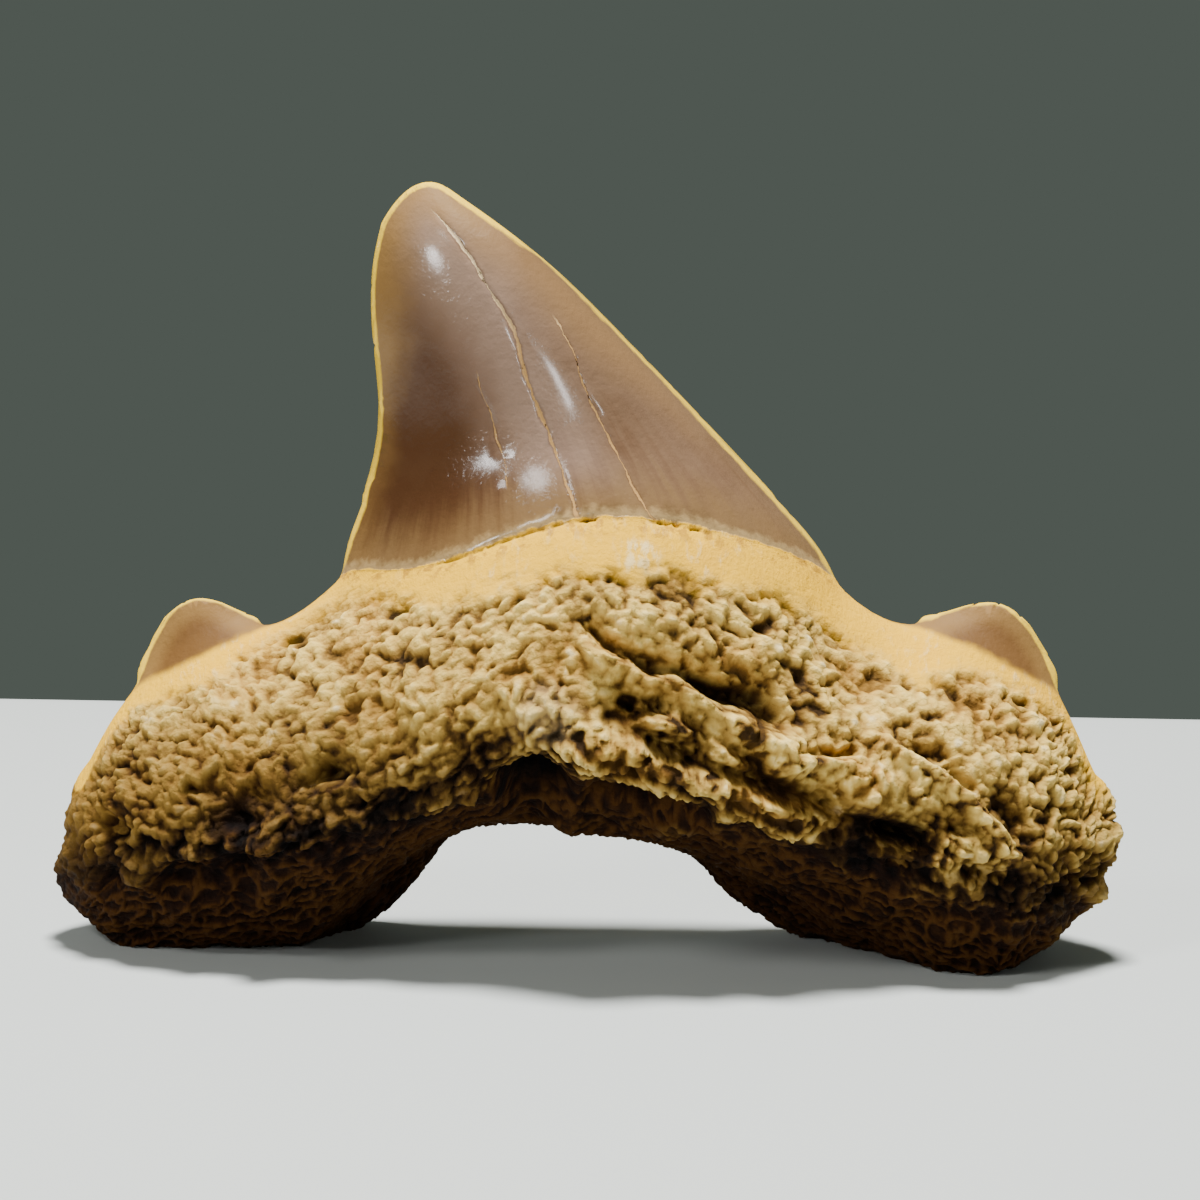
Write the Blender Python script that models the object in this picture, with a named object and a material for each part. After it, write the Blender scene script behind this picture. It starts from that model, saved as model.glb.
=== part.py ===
"""A fossil shark tooth that stands on the two lobes of its root.

The whole tooth is one solid, as it grew. Its form is a coarse cage of four-sided faces, which subdivision
turns into a smooth surface, and the ledges, pits and lumps of the worn root are raised on that surface.
Positions are in millimetres: x runs along the root, y is 0 in the plane of the cutting edges and negative
towards the bulging inner side, and z is the height above what the tooth stands on.
"""

import bisect
import math

import bpy
import numpy as np
from mathutils import Vector, noise

MM = 0.001

# The root is a row of rings, counted from the left lobe to the right one.
LAST_STATION = 20
LEFT_CUSP = (2, 5)
CROWN = (6, 14)
RIGHT_CUSP = (15, 18)
RING_ROWS = 6  # from the top of a ring down each side to its underside

# Guide lines along the root, as station: (x, y, z).
TOP_LINE = {
    0: (-18.6, -0.9, 6.8),
    1: (-17.9, -0.6, 8.2),
    2: (-17.1, -0.2, 9.5),
    3: (-15.5, -1.3, 10.4),
    4: (-13.8, -1.3, 11.3),
    5: (-12.2, -0.1, 11.9),
    6: (-9.5, -0.1, 13.8),
    7: (-7.2, -2.5, 14.2),
    8: (-4.8, -3.9, 15.0),
    9: (-2.4, -4.6, 16.0),
    10: (0.0, -4.8, 16.6),
    11: (2.4, -4.6, 16.5),
    12: (4.8, -3.9, 16.0),
    13: (7.3, -2.4, 15.1),
    14: (9.4, -0.1, 13.8),
    15: (12.1, -0.1, 12.4),
    16: (14.1, -1.3, 11.8),
    17: (16.1, -1.3, 10.8),
    18: (17.7, -0.2, 9.9),
    19: (18.4, -0.6, 8.3),
    20: (19.0, -0.9, 6.9),
}
BACK_ENAMEL = {
    3: (-15.5, 0.9, 10.0),
    4: (-13.8, 1.0, 11.0),
    7: (-7.4, 1.2, 13.0),
    8: (-4.9, 1.6, 13.0),
    10: (0.0, 1.9, 13.3),
    12: (4.9, 1.6, 13.2),
    13: (7.4, 1.2, 13.0),
    16: (14.1, 1.0, 11.4),
    17: (16.1, 0.9, 10.4),
}
CREST_LINE = {
    0: (-18.8, -3.5, 3.9),
    1: (-17.7, -4.6, 4.2),
    2: (-16.4, -5.5, 4.5),
    4: (-12.3, -6.3, 5.0),
    6: (-8.1, -7.0, 6.0),
    8: (-4.1, -7.7, 7.7),
    10: (0.0, -8.1, 8.7),
    12: (4.1, -7.8, 7.6),
    14: (8.1, -7.2, 6.1),
    16: (12.2, -6.7, 4.9),
    18: (15.8, -6.0, 3.7),
    19: (17.3, -4.9, 3.4),
    20: (18.5, -3.4, 3.3),
}
BASAL_RIM = {
    0: (-18.4, -1.4, 0.5),
    1: (-17.4, -2.0, 0.0),
    3: (-14.2, -2.2, 0.0),
    4: (-12.2, -2.1, 0.1),
    5: (-10.6, -1.8, 0.1),
    6: (-8.8, -1.3, 1.4),
    7: (-6.9, -0.7, 3.3),
    8: (-4.8, -0.2, 4.3),
    9: (-2.6, 0.0, 4.6),
    10: (-0.4, 0.0, 4.45),
    12: (3.7, -0.1, 3.65),
    13: (5.6, -0.5, 2.85),
    14: (7.5, -1.2, 1.9),
    15: (9.5, -2.0, 1.0),
    16: (11.4, -2.9, 0.4),
    17: (13.2, -3.8, 0.0),
    18: (14.9, -4.1, 0.0),
    19: (15.9, -3.7, 0.2),
    20: (16.7, -2.7, 0.8),
}
HEEL_LINE = {
    0: (-18.2, 0.4, 0.4),
    1: (-17.0, 1.1, 0.0),
    3: (-13.4, 1.7, 0.0),
    5: (-9.7, 1.6, 0.0),
    6: (-8.0, 1.5, 0.3),
    7: (-6.5, 1.3, 1.7),
    8: (-5.0, 1.1, 4.2),
    9: (-2.7, 1.0, 4.8),
    11: (1.8, 1.0, 4.6),
    12: (3.9, 1.0, 3.6),
    13: (5.1, 1.1, 1.9),
    14: (6.6, 1.2, 0.7),
    15: (8.4, 1.2, 0.0),
    17: (12.6, 1.0, 0.0),
    19: (16.0, 0.6, 0.0),
    20: (17.1, 0.1, 0.5),
}
# Outer ends of the two lobes, from the top down.
LEFT_END = [(-19, -1.2, 5.8), (-19.4, -1.4, 4.7), (-19.7, -1.5, 3.4), (-19.7, -1.4, 2.1), (-18.9, -1.2, 1)]
RIGHT_END = [(19.4, -1.2, 6.0), (19.7, -1.5, 4.9), (19.4, -1.6, 3.7), (18.8, -1.7, 2.5), (17.5, -1.8, 1.3)]

# Left and right cutting edges, as (x, z) from the root up, and the point that pulls the tip to its height.
CROWN_EDGES = (
    [(-8.6, 16.4), (-8.0, 19.4), (-8.25, 22.5), (-8.3, 25.0), (-7.95, 26.9)],
    [(6.9, 16.8), (4.0, 19.9), (1.0, 22.9), (-2.0, 25.7), (-4.9, 27.65)],
)
LEFT_CUSP_EDGES = ([(-16.65, 10.7), (-16.0, 12.0)], [(-12.9, 12.15), (-13.8, 12.6)])
RIGHT_CUSP_EDGES = ([(13.0, 12.6), (14.1, 13.0)], [(17.2, 11.1), (16.5, 12.3)])
CROWN_TIP_PULL = (-6.5, 29.45)
LEFT_CUSP_PULL = (-15.0, 13.1)
RIGHT_CUSP_PULL = (15.5, 13.45)

# How far the middle of the inner and of the outer face stands off the cutting edges, from the root up.
CROWN_DEPTHS = ([4.8, 3.3, 2.8, 2.2, 1.4, 0.0], [1.9, 1.4, 1.2, 1.0, 0.6, 0.0])
CUSP_DEPTHS = ([1.3, 0.6, 0.0], [0.8, 0.4, 0.0])

OUTER_FACE_DEPTH = 2.1
OUTER_END_DEPTH = 1.3
LOOSE_SHARE = 0.6
EDGE_FOOT_SHARPNESS = 0.5
SUBDIVISIONS = 3
FIT_ROUNDS = 2
TRIANGLES_KEPT = 0.211

# How far worn and bony a point of the root's surface is, by its row round the ring, and its lumps.
END_ROUGHNESS = 1.0
ROW_ROUGHNESS = [0.0, 0.3, 1.0, 1.0, 1.0, 1.0, 0.6, 0.1, 0.1, 0.15, 0.15, 0.05]
LUMP_SPACING = 1.5
LUMP_HEIGHT = 0.35
LUMP_BIAS = 0.4
EASING_ROUNDS = 10
FOOT_WEAR = 0.02

# Ridges (height above 0) and hollows (below 0) of the root, as (half width, height, points along them).
RELIEF = [
    (0.7, -0.7, [(0.3, -7.2, 12.9), (0.9, -7.4, 12.3)]),
    (0.7, -1.2, [(2, -7.5, 11.9), (3.5, -7.4, 11.3), (4.8, -7.2, 10.7), (6.1, -6.8, 10.6), (6.7, -7, 10)]),
    (0.6, 0.6, [(0.7, -7.6, 12), (2.8, -7.5, 11.2), (4.3, -7.5, 10.2), (5.9, -7.3, 9.3), (7, -7, 8.8)]),
    (0.5, -0.8, [(1.5, -8.0, 10.5), (2.5, -7.8, 10.5), (4.5, -7.6, 9.7)]),
    (0.5, 0.5, [(2.0, -8.0, 9.9), (4.3, -7.7, 9.3)]),
    (0.5, 0.5, [(4.7, -7.7, 8.7), (6.1, -7.5, 8.0)]),
    (0.5, -0.6, [(1.8, -8.1, 9.4), (3.6, -7.9, 8.8), (5.4, -7.6, 7.9)]),
    (0.8, 1.0, [(-0.5, -8.1, 8.8), (1.4, -8.1, 8.6), (3.5, -7.9, 7.9), (6.0, -7.5, 7.1), (7.6, -7.3, 6.5)]),
    (0.7, -0.9, [(0.5, -6.9, 7.1), (2.6, -6.7, 6.7), (4.0, -6.9, 6.4)]),
    (0.9, 0.6, [(-0.9, -6.5, 6.9), (-0.2, -4.2, 5.6), (1.2, -3.9, 5.3), (2.8, -5.4, 5.7), (4.1, -6.9, 6.2)]),
    (1.1, -2.0, [(-2.0, -7.3, 7.4), (-1.6, -6.7, 7.0)]),
    (0.9, 0.5, [(-2.0, -7.9, 9.9), (-1.0, -8.0, 10.0)]),
    (0.5, -0.7, [(6.1, -7.5, 7.7), (7.4, -7.3, 7.2), (8.5, -7.1, 6.9)]),
    (0.6, 0.5, [(10.8, -5.6, 8.6), (12.5, -5.9, 7.6), (14.4, -6.0, 6.4), (15.0, -6.1, 5.5)]),
    (0.5, -0.6, [(11.4, -5.6, 8.9), (12.2, -5.7, 8.5), (14.4, -5.9, 7.2), (15.6, -5.8, 6.0)]),
    (0.8, -1.1, [(11.0, -6.8, 5.8), (11.8, -6.7, 5.6)]),
    (0.7, 0.6, [(12.8, -6.6, 5.1), (14.4, -6.4, 4.6)]),
    (0.8, 0.5, [(7.2, -7.1, 8.1), (8.4, -6.8, 8.1), (9.6, -6.7, 7.4), (10.6, -6.8, 6.6)]),
    (0.5, -0.6, [(18.7, -3.4, 5.8), (18.8, -3.4, 5.4)]),
    (0.6, -0.4, [(-17.2, -5.1, 5.1), (-16.7, -5.3, 5.0)]),
    (0.4, 0.5, [(-11.6, -6.4, 5.0), (-10.6, -6.6, 5.9)]),
    (0.6, 0.4, [(-16.1, -5.3, 3.4), (-14.7, -5.9, 4.3), (-12.1, -6.3, 4.9), (-9.5, -6.7, 5.6)]),
    (0.8, -0.8, [(-15.0, -5.4, 3.2), (-12.6, -5.8, 3.8)]),
    (0.5, -0.6, [(-9.2, -6.5, 7.6), (-8.8, -6.5, 7.6)]),
    (0.8, 0.3, [(19.9, -2.4, 5.2), (19.9, -1.0, 5.0)]),
    (0.5, -0.2, [(19.4, -2.6, 3.3), (19.4, -1.0, 3.3)]),
    (0.6, 0.5, [(18.9, -2.6, 2.6), (19.0, -1.2, 2.6)]),
]
BONE_COLOUR = (0.52, 0.36, 0.18, 1.0)
BONE_ROUGHNESS = 0.75


def guide(stops):
    """The point at every station, on a smooth curve through the stops."""
    at = sorted(stops)
    known = np.array([stops[s] for s in at], float)
    slopes = np.gradient(known, at, axis=0)
    points = {}
    for station in range(at[0], at[-1] + 1):
        k = min(bisect.bisect_right(at, station) - 1, len(at) - 2)
        span = at[k + 1] - at[k]
        t = (station - at[k]) / span
        points[station] = (
            (2 * t**3 - 3 * t**2 + 1) * known[k]
            + (t**3 - 2 * t**2 + t) * span * slopes[k]
            + (3 * t**2 - 2 * t**3) * known[k + 1]
            + (t**3 - t**2) * span * slopes[k + 1]
        )
    return points


def mix(a, b, t):
    return a + (b - a) * t


def ring(top, crest, rim, heel, back_top, outer_depth):
    """The points round one section of the root, down the inner side and up the outer side."""
    rows = [top]
    for t in (1 / 3, 2 / 3):
        swell = math.sin(t * math.pi / 2)
        drop = mix(t, 1 - math.cos(t * math.pi / 2), 0.3)
        rows.append(mix(top, crest, np.array([t, swell, drop])))
    rows.append(crest)
    for t in (1 / 3, 2 / 3):
        back = mix(t, 1 - math.cos(t * math.pi / 2), 0.6)
        drop = mix(t, math.sin(t * math.pi / 2), 0.6)
        rows.append(mix(crest, rim, np.array([t, back, drop])))
    rows += [rim, heel]
    for k in range(1, RING_ROWS - 1):
        t = k / (RING_ROWS - 1)
        swell = 4 * t * (1 - t) * (outer_depth - (heel[1] + back_top[1]) / 2)
        rows.append(mix(heel, back_top, t) + np.array([0, swell, 0]))
    return rows


class Cage:
    """Named points, the faces between them, and the edges that stay sharp."""

    def __init__(self):
        self.points = {}
        self.faces = []
        self.sharp = {}
        self.loose = []
        self.rough = {}

    def put(self, name, position):
        self.points[name] = np.array(position, float)

    def face(self, *names):
        corners = list(dict.fromkeys(names))
        if len(corners) > 2:
            self.faces.append(corners)

    def to_object(self, name):
        order = {point: k for k, point in enumerate(self.points)}
        mesh = bpy.data.meshes.new(name)
        coordinates = [Vector(p * MM) for p in self.points.values()]
        mesh.from_pydata(coordinates, [], [[order[p] for p in face] for face in self.faces])
        sharp = {frozenset((order[a], order[b])): value for (a, b), value in self.sharp.items()}
        crease = mesh.attributes.new("crease_edge", "FLOAT", "EDGE")
        for edge in mesh.edges:
            crease.data[edge.index].value = sharp.get(frozenset(edge.vertices), 0)
        rough = mesh.attributes.new("rough", "FLOAT", "POINT")
        rough.data.foreach_set("value", [self.rough.get(p, 0.0) for p in self.points])
        made = bpy.data.objects.new(name, mesh)
        bpy.context.scene.collection.objects.link(made)
        return made


def add_root(cage):
    tops, back_tops = guide(TOP_LINE), {}
    for first, last in (LEFT_CUSP, CROWN, RIGHT_CUSP):
        stops = {s: p for s, p in BACK_ENAMEL.items() if first < s < last}
        stops[first] = tops[first]
        stops[last] = tops[last]
        along = guide(stops)
        back_tops.update({s: along[s] for s in range(first + 1, last)})
    crests, rims, heels = guide(CREST_LINE), guide(BASAL_RIM), guide(HEEL_LINE)
    for s in range(LAST_STATION + 1):
        back_top = back_tops.get(s, tops[s])
        outer_depth = OUTER_END_DEPTH if s in (0, LAST_STATION) else OUTER_FACE_DEPTH
        for row, point in enumerate(ring(tops[s], crests[s], rims[s], heels[s], back_top, outer_depth)):
            cage.put(("root", s, row), point)
            cage.rough["root", s, row] = ROW_ROUGHNESS[row]
        if s in back_tops:
            cage.put(("root", s, "back top"), back_top)
    for row in range(1, RING_ROWS):
        cage.put(("left end", row), LEFT_END[row - 1])
        cage.put(("right end", row), RIGHT_END[row - 1])
        cage.rough["left end", row] = cage.rough["right end", row] = END_ROUGHNESS

    def name(station, row):
        if station in (-1, LAST_STATION + 1):
            end = "left end" if station < 0 else "right end"
            inner = min(max(station, 0), LAST_STATION)
            if row % RING_ROWS == 0:
                return ("root", inner, row % (2 * RING_ROWS))
            return (end, min(row, 2 * RING_ROWS - row))
        if row == 2 * RING_ROWS:
            return ("root", station, "back top" if station in back_tops else 0)
        return ("root", station, row)

    for s in range(-1, LAST_STATION + 1):
        for row in range(2 * RING_ROWS):
            cage.face(name(s, row), name(s, row + 1), name(s + 1, row + 1), name(s + 1, row))


def add_blade(cage, part, span, edges, pull, depths):
    """A crown or a cusplet: an inner and an outer face that meet in one sharp edge."""
    first, last = span
    left_edge, right_edge = edges
    columns, rows = last - first, len(left_edge)

    def name(side, i, j):
        if j == 0:
            return ("root", first + i, "back top" if side == "back" and 0 < i < columns else 0)
        if i in (0, columns) or j == rows:
            return (part, "edge", i, j)
        return (part, side, i, j)

    def tip(t):
        a, b, c = (np.array(p) for p in (left_edge[-1], pull, right_edge[-1]))
        return (1 - t) ** 2 * a + 2 * t * (1 - t) * b + t**2 * c

    for side, sign, face_depths in (("front", -1, depths[0]), ("back", 1, depths[1])):
        base = np.array([cage.points[name(side, i, 0)] for i in range(columns + 1)])
        left = [base[0][[0, 2]]] + [np.array(p) for p in left_edge]
        right = [base[-1][[0, 2]]] + [np.array(p) for p in right_edge]
        for j in range(1, rows + 1):
            v = j / rows
            for i in range(columns + 1):
                u = i / columns
                x, z = (
                    mix(left[j], right[j], u)
                    + mix(base[i][[0, 2]], tip(u), v)
                    - mix(mix(left[0], right[0], u), mix(left[-1], right[-1], u), v)
                )
                y = sign * face_depths[j] * (1 - (2 * u - 1) ** 2)
                cage.put(name(side, i, j), (x, y, z))
        for j in range(rows):
            for i in range(columns):
                around = [(i, j), (i + 1, j), (i + 1, j + 1), (i, j + 1)]
                cage.face(*(name(side, *corner) for corner in around[::-sign]))
    rim = [name("front", 0, j) for j in range(rows + 1)]
    rim += [name("front", i, rows) for i in range(1, columns + 1)]
    rim += [name("front", columns, j) for j in range(rows - 1, -1, -1)]
    cage.sharp.update({pair: 1 for pair in zip(rim, rim[1:])})
    cage.sharp.update({pair: EDGE_FOOT_SHARPNESS for pair in (tuple(rim[:2]), tuple(rim[-2:]))})
    cage.loose += [rim[0], rim[-1]]


def evaluated(made):
    return made.evaluated_get(bpy.context.evaluated_depsgraph_get())


def settle(made, cage):
    """Moves the cage's points until the smooth surface passes near where they were put."""
    targets = [vertex.co.copy() for vertex in made.data.vertices]
    shares = {k: LOOSE_SHARE if name in cage.loose else 1 for k, name in enumerate(cage.points)}
    for _ in range(FIT_ROUNDS):
        smooth = evaluated(made).to_mesh()
        steps = {k: share * (targets[k] - smooth.vertices[k].co) for k, share in shares.items()}
        evaluated(made).to_mesh_clear()
        for k, step in steps.items():
            made.data.vertices[k].co += step
        made.data.update()


def nearness(points, line, half_width):
    """1 on a line through some points, and less beside it."""
    nearest = np.full(len(points), np.inf)
    for a, b in zip(np.array(line[:-1]), np.array(line[1:])):
        along = np.clip((points - a) @ (b - a) / ((b - a) @ (b - a)), 0, 1)
        nearest = np.minimum(nearest, np.linalg.norm(points - a - along[:, None] * (b - a), axis=1))
    return np.exp(-((nearest / half_width) ** 2))


def eased(mesh, values):
    """The vertices' values, averaged with their neighbours' again and again."""
    ends = np.array([edge.vertices for edge in mesh.edges])
    neighbours = np.bincount(ends.ravel(), minlength=len(values))[:, None]
    for _ in range(EASING_ROUNDS):
        total = np.zeros_like(values)
        np.add.at(total, ends[:, 0], values[ends[:, 1]])
        np.add.at(total, ends[:, 1], values[ends[:, 0]])
        values = total / neighbours
    return values / np.linalg.norm(values, axis=1, keepdims=True)


def wear(mesh):
    """Raises the root's ridges, hollows and lumps on the smooth form.

    The way out of the surface is eased first, so that hollows near the crest don't fold."""
    points = np.array([vertex.co for vertex in mesh.vertices]) / MM
    outward = eased(mesh, np.array([vertex.normal for vertex in mesh.vertices]))
    rough = np.array([value.value for value in mesh.attributes["rough"].data])
    lift = np.array([LUMP_HEIGHT * (LUMP_BIAS + noise.noise(Vector(p / LUMP_SPACING))) for p in points])
    for half_width, height, line in RELIEF:
        lift += height * nearness(points, line, half_width)
    points += outward * (lift * rough)[:, None]
    mesh.vertices.foreach_set("co", (points * MM).ravel())


def stand(mesh, recentre):
    """Wears the feet flat, and can bring the middle of the tooth over the origin."""
    points = np.array([vertex.co for vertex in mesh.vertices])
    points[points[:, 2] < FOOT_WEAR * MM, 2] = 0
    if recentre:
        points[:, :2] -= (points.min(axis=0) + points.max(axis=0))[:2] / 2
    mesh.vertices.foreach_set("co", points.ravel())


def bone():
    made = bpy.data.materials.new("bone and enamel")
    made.use_nodes = True
    shader = made.node_tree.nodes["Principled BSDF"]
    shader.inputs["Base Color"].default_value = BONE_COLOUR
    shader.inputs["Roughness"].default_value = BONE_ROUGHNESS
    shader.inputs["Metallic"].default_value = 0.0
    return made


def smooth_form():
    """The tooth's smooth form, before wear, as an object with its subdivision still live."""
    cage = Cage()
    add_root(cage)
    for part, span, edges, pull, depths in (
        ("crown", CROWN, CROWN_EDGES, CROWN_TIP_PULL, CROWN_DEPTHS),
        ("left cusp", LEFT_CUSP, LEFT_CUSP_EDGES, LEFT_CUSP_PULL, CUSP_DEPTHS),
        ("right cusp", RIGHT_CUSP, RIGHT_CUSP_EDGES, RIGHT_CUSP_PULL, CUSP_DEPTHS),
    ):
        add_blade(cage, part, span, edges, pull, depths)
    form = cage.to_object("form")
    smoothing = form.modifiers.new("smooth", "SUBSURF")
    smoothing.levels = smoothing.render_levels = SUBDIVISIONS
    settle(form, cage)
    return form


for old in list(bpy.data.objects):
    bpy.data.objects.remove(old)

form = smooth_form()
worn = bpy.data.meshes.new_from_object(evaluated(form))
bpy.data.objects.remove(form)
wear(worn)
stand(worn, recentre=False)
dense = bpy.data.objects.new("dense", worn)
bpy.context.scene.collection.objects.link(dense)
thinning = dense.modifiers.new("fewer faces", "DECIMATE")
thinning.ratio = TRIANGLES_KEPT
mesh = bpy.data.meshes.new_from_object(evaluated(dense))
bpy.data.objects.remove(dense)
stand(mesh, recentre=True)
mesh.shade_smooth()
mesh.materials.append(bone())
tooth = bpy.data.objects.new("tooth", mesh)
bpy.context.scene.collection.objects.link(tooth)
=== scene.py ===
# %% [markdown]
# # A fossil shark tooth
#
# The tooth stands on the two lobes of its root. It grew as one piece: a glossy enamel crown with a cutting
# edge all round, a small cusplet on each shoulder, and a thick arched root of spongy bone, which the ground
# has worn into lumps, ledges and pits.
#
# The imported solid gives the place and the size. The lesson builds a finer skin over the same form, wears it
# with Geometry Nodes, and then colours bone and enamel with one material.

# %% Load the solid that the finished tooth has to match
import bisect
import math

import bpy
import numpy as np
from mathutils import Matrix, Vector, kdtree, noise


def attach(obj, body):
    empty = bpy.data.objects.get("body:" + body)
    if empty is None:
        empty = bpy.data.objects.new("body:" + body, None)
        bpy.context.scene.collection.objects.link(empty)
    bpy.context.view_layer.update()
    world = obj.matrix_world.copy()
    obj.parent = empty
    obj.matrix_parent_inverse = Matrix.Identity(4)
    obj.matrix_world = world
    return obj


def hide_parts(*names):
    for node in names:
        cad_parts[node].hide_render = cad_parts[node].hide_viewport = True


MM = 0.001


def in_mm(place):
    return [round(c / MM, 2) for c in place]


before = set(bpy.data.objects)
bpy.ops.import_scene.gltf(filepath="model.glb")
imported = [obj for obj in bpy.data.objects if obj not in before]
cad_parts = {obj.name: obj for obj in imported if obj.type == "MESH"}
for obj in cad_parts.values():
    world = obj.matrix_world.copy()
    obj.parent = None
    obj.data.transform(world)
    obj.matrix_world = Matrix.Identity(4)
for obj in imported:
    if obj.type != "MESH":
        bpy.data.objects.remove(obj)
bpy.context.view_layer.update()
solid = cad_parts["tooth"]
solid_tip = max((vertex.co for vertex in solid.data.vertices), key=lambda co: co.z)

# %% [markdown]
# ## The form of the tooth
#
# A grown thing has no straight lines, so a coarse cage of four-sided faces is laid over it and a
# Subdivision Surface modifier turns the cage into a smooth skin. Sculpting would do as well, but a cage keeps
# every size as a number that can be changed.
#
# The root is a row of 21 rings. Each ring is hung between guide lines that run along the root: its top, its
# bulging crest, the rim of its underside and its heel. All places are in millimetres, seen from the front:
# x to the right, y back from the plane of the cutting edges, and z up from the ground.

# %% Sizes of the root: guide lines, as station: (x, y, z)
LAST_STATION = 20
LEFT_CUSP = (2, 5)
CROWN = (6, 14)
RIGHT_CUSP = (15, 18)
RING_ROWS = 6

TOP_LINE = {
    0: (-18.6, -0.9, 6.8),
    1: (-17.9, -0.6, 8.2),
    2: (-17.1, -0.2, 9.5),
    3: (-15.5, -1.3, 10.4),
    4: (-13.8, -1.3, 11.3),
    5: (-12.2, -0.1, 11.9),
    6: (-9.5, -0.1, 13.8),
    7: (-7.2, -2.5, 14.2),
    8: (-4.8, -3.9, 15.0),
    9: (-2.4, -4.6, 16.0),
    10: (0.0, -4.8, 16.6),
    11: (2.4, -4.6, 16.5),
    12: (4.8, -3.9, 16.0),
    13: (7.3, -2.4, 15.1),
    14: (9.4, -0.1, 13.8),
    15: (12.1, -0.1, 12.4),
    16: (14.1, -1.3, 11.8),
    17: (16.1, -1.3, 10.8),
    18: (17.7, -0.2, 9.9),
    19: (18.4, -0.6, 8.3),
    20: (19.0, -0.9, 6.9),
}
BACK_ENAMEL = {
    3: (-15.5, 0.9, 10.0),
    4: (-13.8, 1.0, 11.0),
    7: (-7.4, 1.2, 13.0),
    8: (-4.9, 1.6, 13.0),
    10: (0.0, 1.9, 13.3),
    12: (4.9, 1.6, 13.2),
    13: (7.4, 1.2, 13.0),
    16: (14.1, 1.0, 11.4),
    17: (16.1, 0.9, 10.4),
}
CREST_LINE = {
    0: (-18.8, -3.5, 3.9),
    1: (-17.7, -4.6, 4.2),
    2: (-16.4, -5.5, 4.5),
    4: (-12.3, -6.3, 5.0),
    6: (-8.1, -7.0, 6.0),
    8: (-4.1, -7.7, 7.7),
    10: (0.0, -8.1, 8.7),
    12: (4.1, -7.8, 7.6),
    14: (8.1, -7.2, 6.1),
    16: (12.2, -6.7, 4.9),
    18: (15.8, -6.0, 3.7),
    19: (17.3, -4.9, 3.4),
    20: (18.5, -3.4, 3.3),
}
BASAL_RIM = {
    0: (-18.4, -1.4, 0.5),
    1: (-17.4, -2.0, 0.0),
    3: (-14.2, -2.2, 0.0),
    4: (-12.2, -2.1, 0.1),
    5: (-10.6, -1.8, 0.1),
    6: (-8.8, -1.3, 1.4),
    7: (-6.9, -0.7, 3.3),
    8: (-4.8, -0.2, 4.3),
    9: (-2.6, 0.0, 4.6),
    10: (-0.4, 0.0, 4.45),
    12: (3.7, -0.1, 3.65),
    13: (5.6, -0.5, 2.85),
    14: (7.5, -1.2, 1.9),
    15: (9.5, -2.0, 1.0),
    16: (11.4, -2.9, 0.4),
    17: (13.2, -3.8, 0.0),
    18: (14.9, -4.1, 0.0),
    19: (15.9, -3.7, 0.2),
    20: (16.7, -2.7, 0.8),
}
HEEL_LINE = {
    0: (-18.2, 0.4, 0.4),
    1: (-17.0, 1.1, 0.0),
    3: (-13.4, 1.7, 0.0),
    5: (-9.7, 1.6, 0.0),
    6: (-8.0, 1.5, 0.3),
    7: (-6.5, 1.3, 1.7),
    8: (-5.0, 1.1, 4.2),
    9: (-2.7, 1.0, 4.8),
    11: (1.8, 1.0, 4.6),
    12: (3.9, 1.0, 3.6),
    13: (5.1, 1.1, 1.9),
    14: (6.6, 1.2, 0.7),
    15: (8.4, 1.2, 0.0),
    17: (12.6, 1.0, 0.0),
    19: (16.0, 0.6, 0.0),
    20: (17.1, 0.1, 0.5),
}
LEFT_END = [(-19, -1.2, 5.8), (-19.4, -1.4, 4.7), (-19.7, -1.5, 3.4), (-19.7, -1.4, 2.1), (-18.9, -1.2, 1)]
RIGHT_END = [(19.4, -1.2, 6.0), (19.7, -1.5, 4.9), (19.4, -1.6, 3.7), (18.8, -1.7, 2.5), (17.5, -1.8, 1.3)]
OUTER_FACE_DEPTH = 2.1
OUTER_END_DEPTH = 1.3
print("guide lines for", LAST_STATION + 1, "rings")

# %% Sizes of the crown and the cusplets
CROWN_EDGES = (
    [(-8.6, 16.4), (-8.0, 19.4), (-8.25, 22.5), (-8.3, 25.0), (-7.95, 26.9)],
    [(6.9, 16.8), (4.0, 19.9), (1.0, 22.9), (-2.0, 25.7), (-4.9, 27.65)],
)
LEFT_CUSP_EDGES = ([(-16.65, 10.7), (-16.0, 12.0)], [(-12.9, 12.15), (-13.8, 12.6)])
RIGHT_CUSP_EDGES = ([(13.0, 12.6), (14.1, 13.0)], [(17.2, 11.1), (16.5, 12.3)])
CROWN_TIP_PULL = (-6.5, 29.45)
LEFT_CUSP_PULL = (-15.0, 13.1)
RIGHT_CUSP_PULL = (15.5, 13.45)
CROWN_DEPTHS = ([4.8, 3.3, 2.8, 2.2, 1.4, 0.0], [1.9, 1.4, 1.2, 1.0, 0.6, 0.0])
CUSP_DEPTHS = ([1.3, 0.6, 0.0], [0.8, 0.4, 0.0])
print("crown edges of", len(CROWN_EDGES[0]), "and", len(CROWN_EDGES[1]), "points")

# %% [markdown]
# The cage keeps its points by name, so that the blades can be joined to the root by the names of their common
# points. Each point also carries how worn it is and how far it is below the enamel, which the modifier
# spreads smoothly over the skin.

# %% The cage, and what each of its points carries


def add_object(name, data):
    made = bpy.data.objects.new(name, data)
    bpy.context.scene.collection.objects.link(made)
    return made


def carry(mesh, name, values, kind="FLOAT", field="value"):
    """Keeps a value for each point of a mesh under a name."""
    mesh.attributes.new(name, kind, "POINT").data.foreach_set(field, values)


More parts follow.
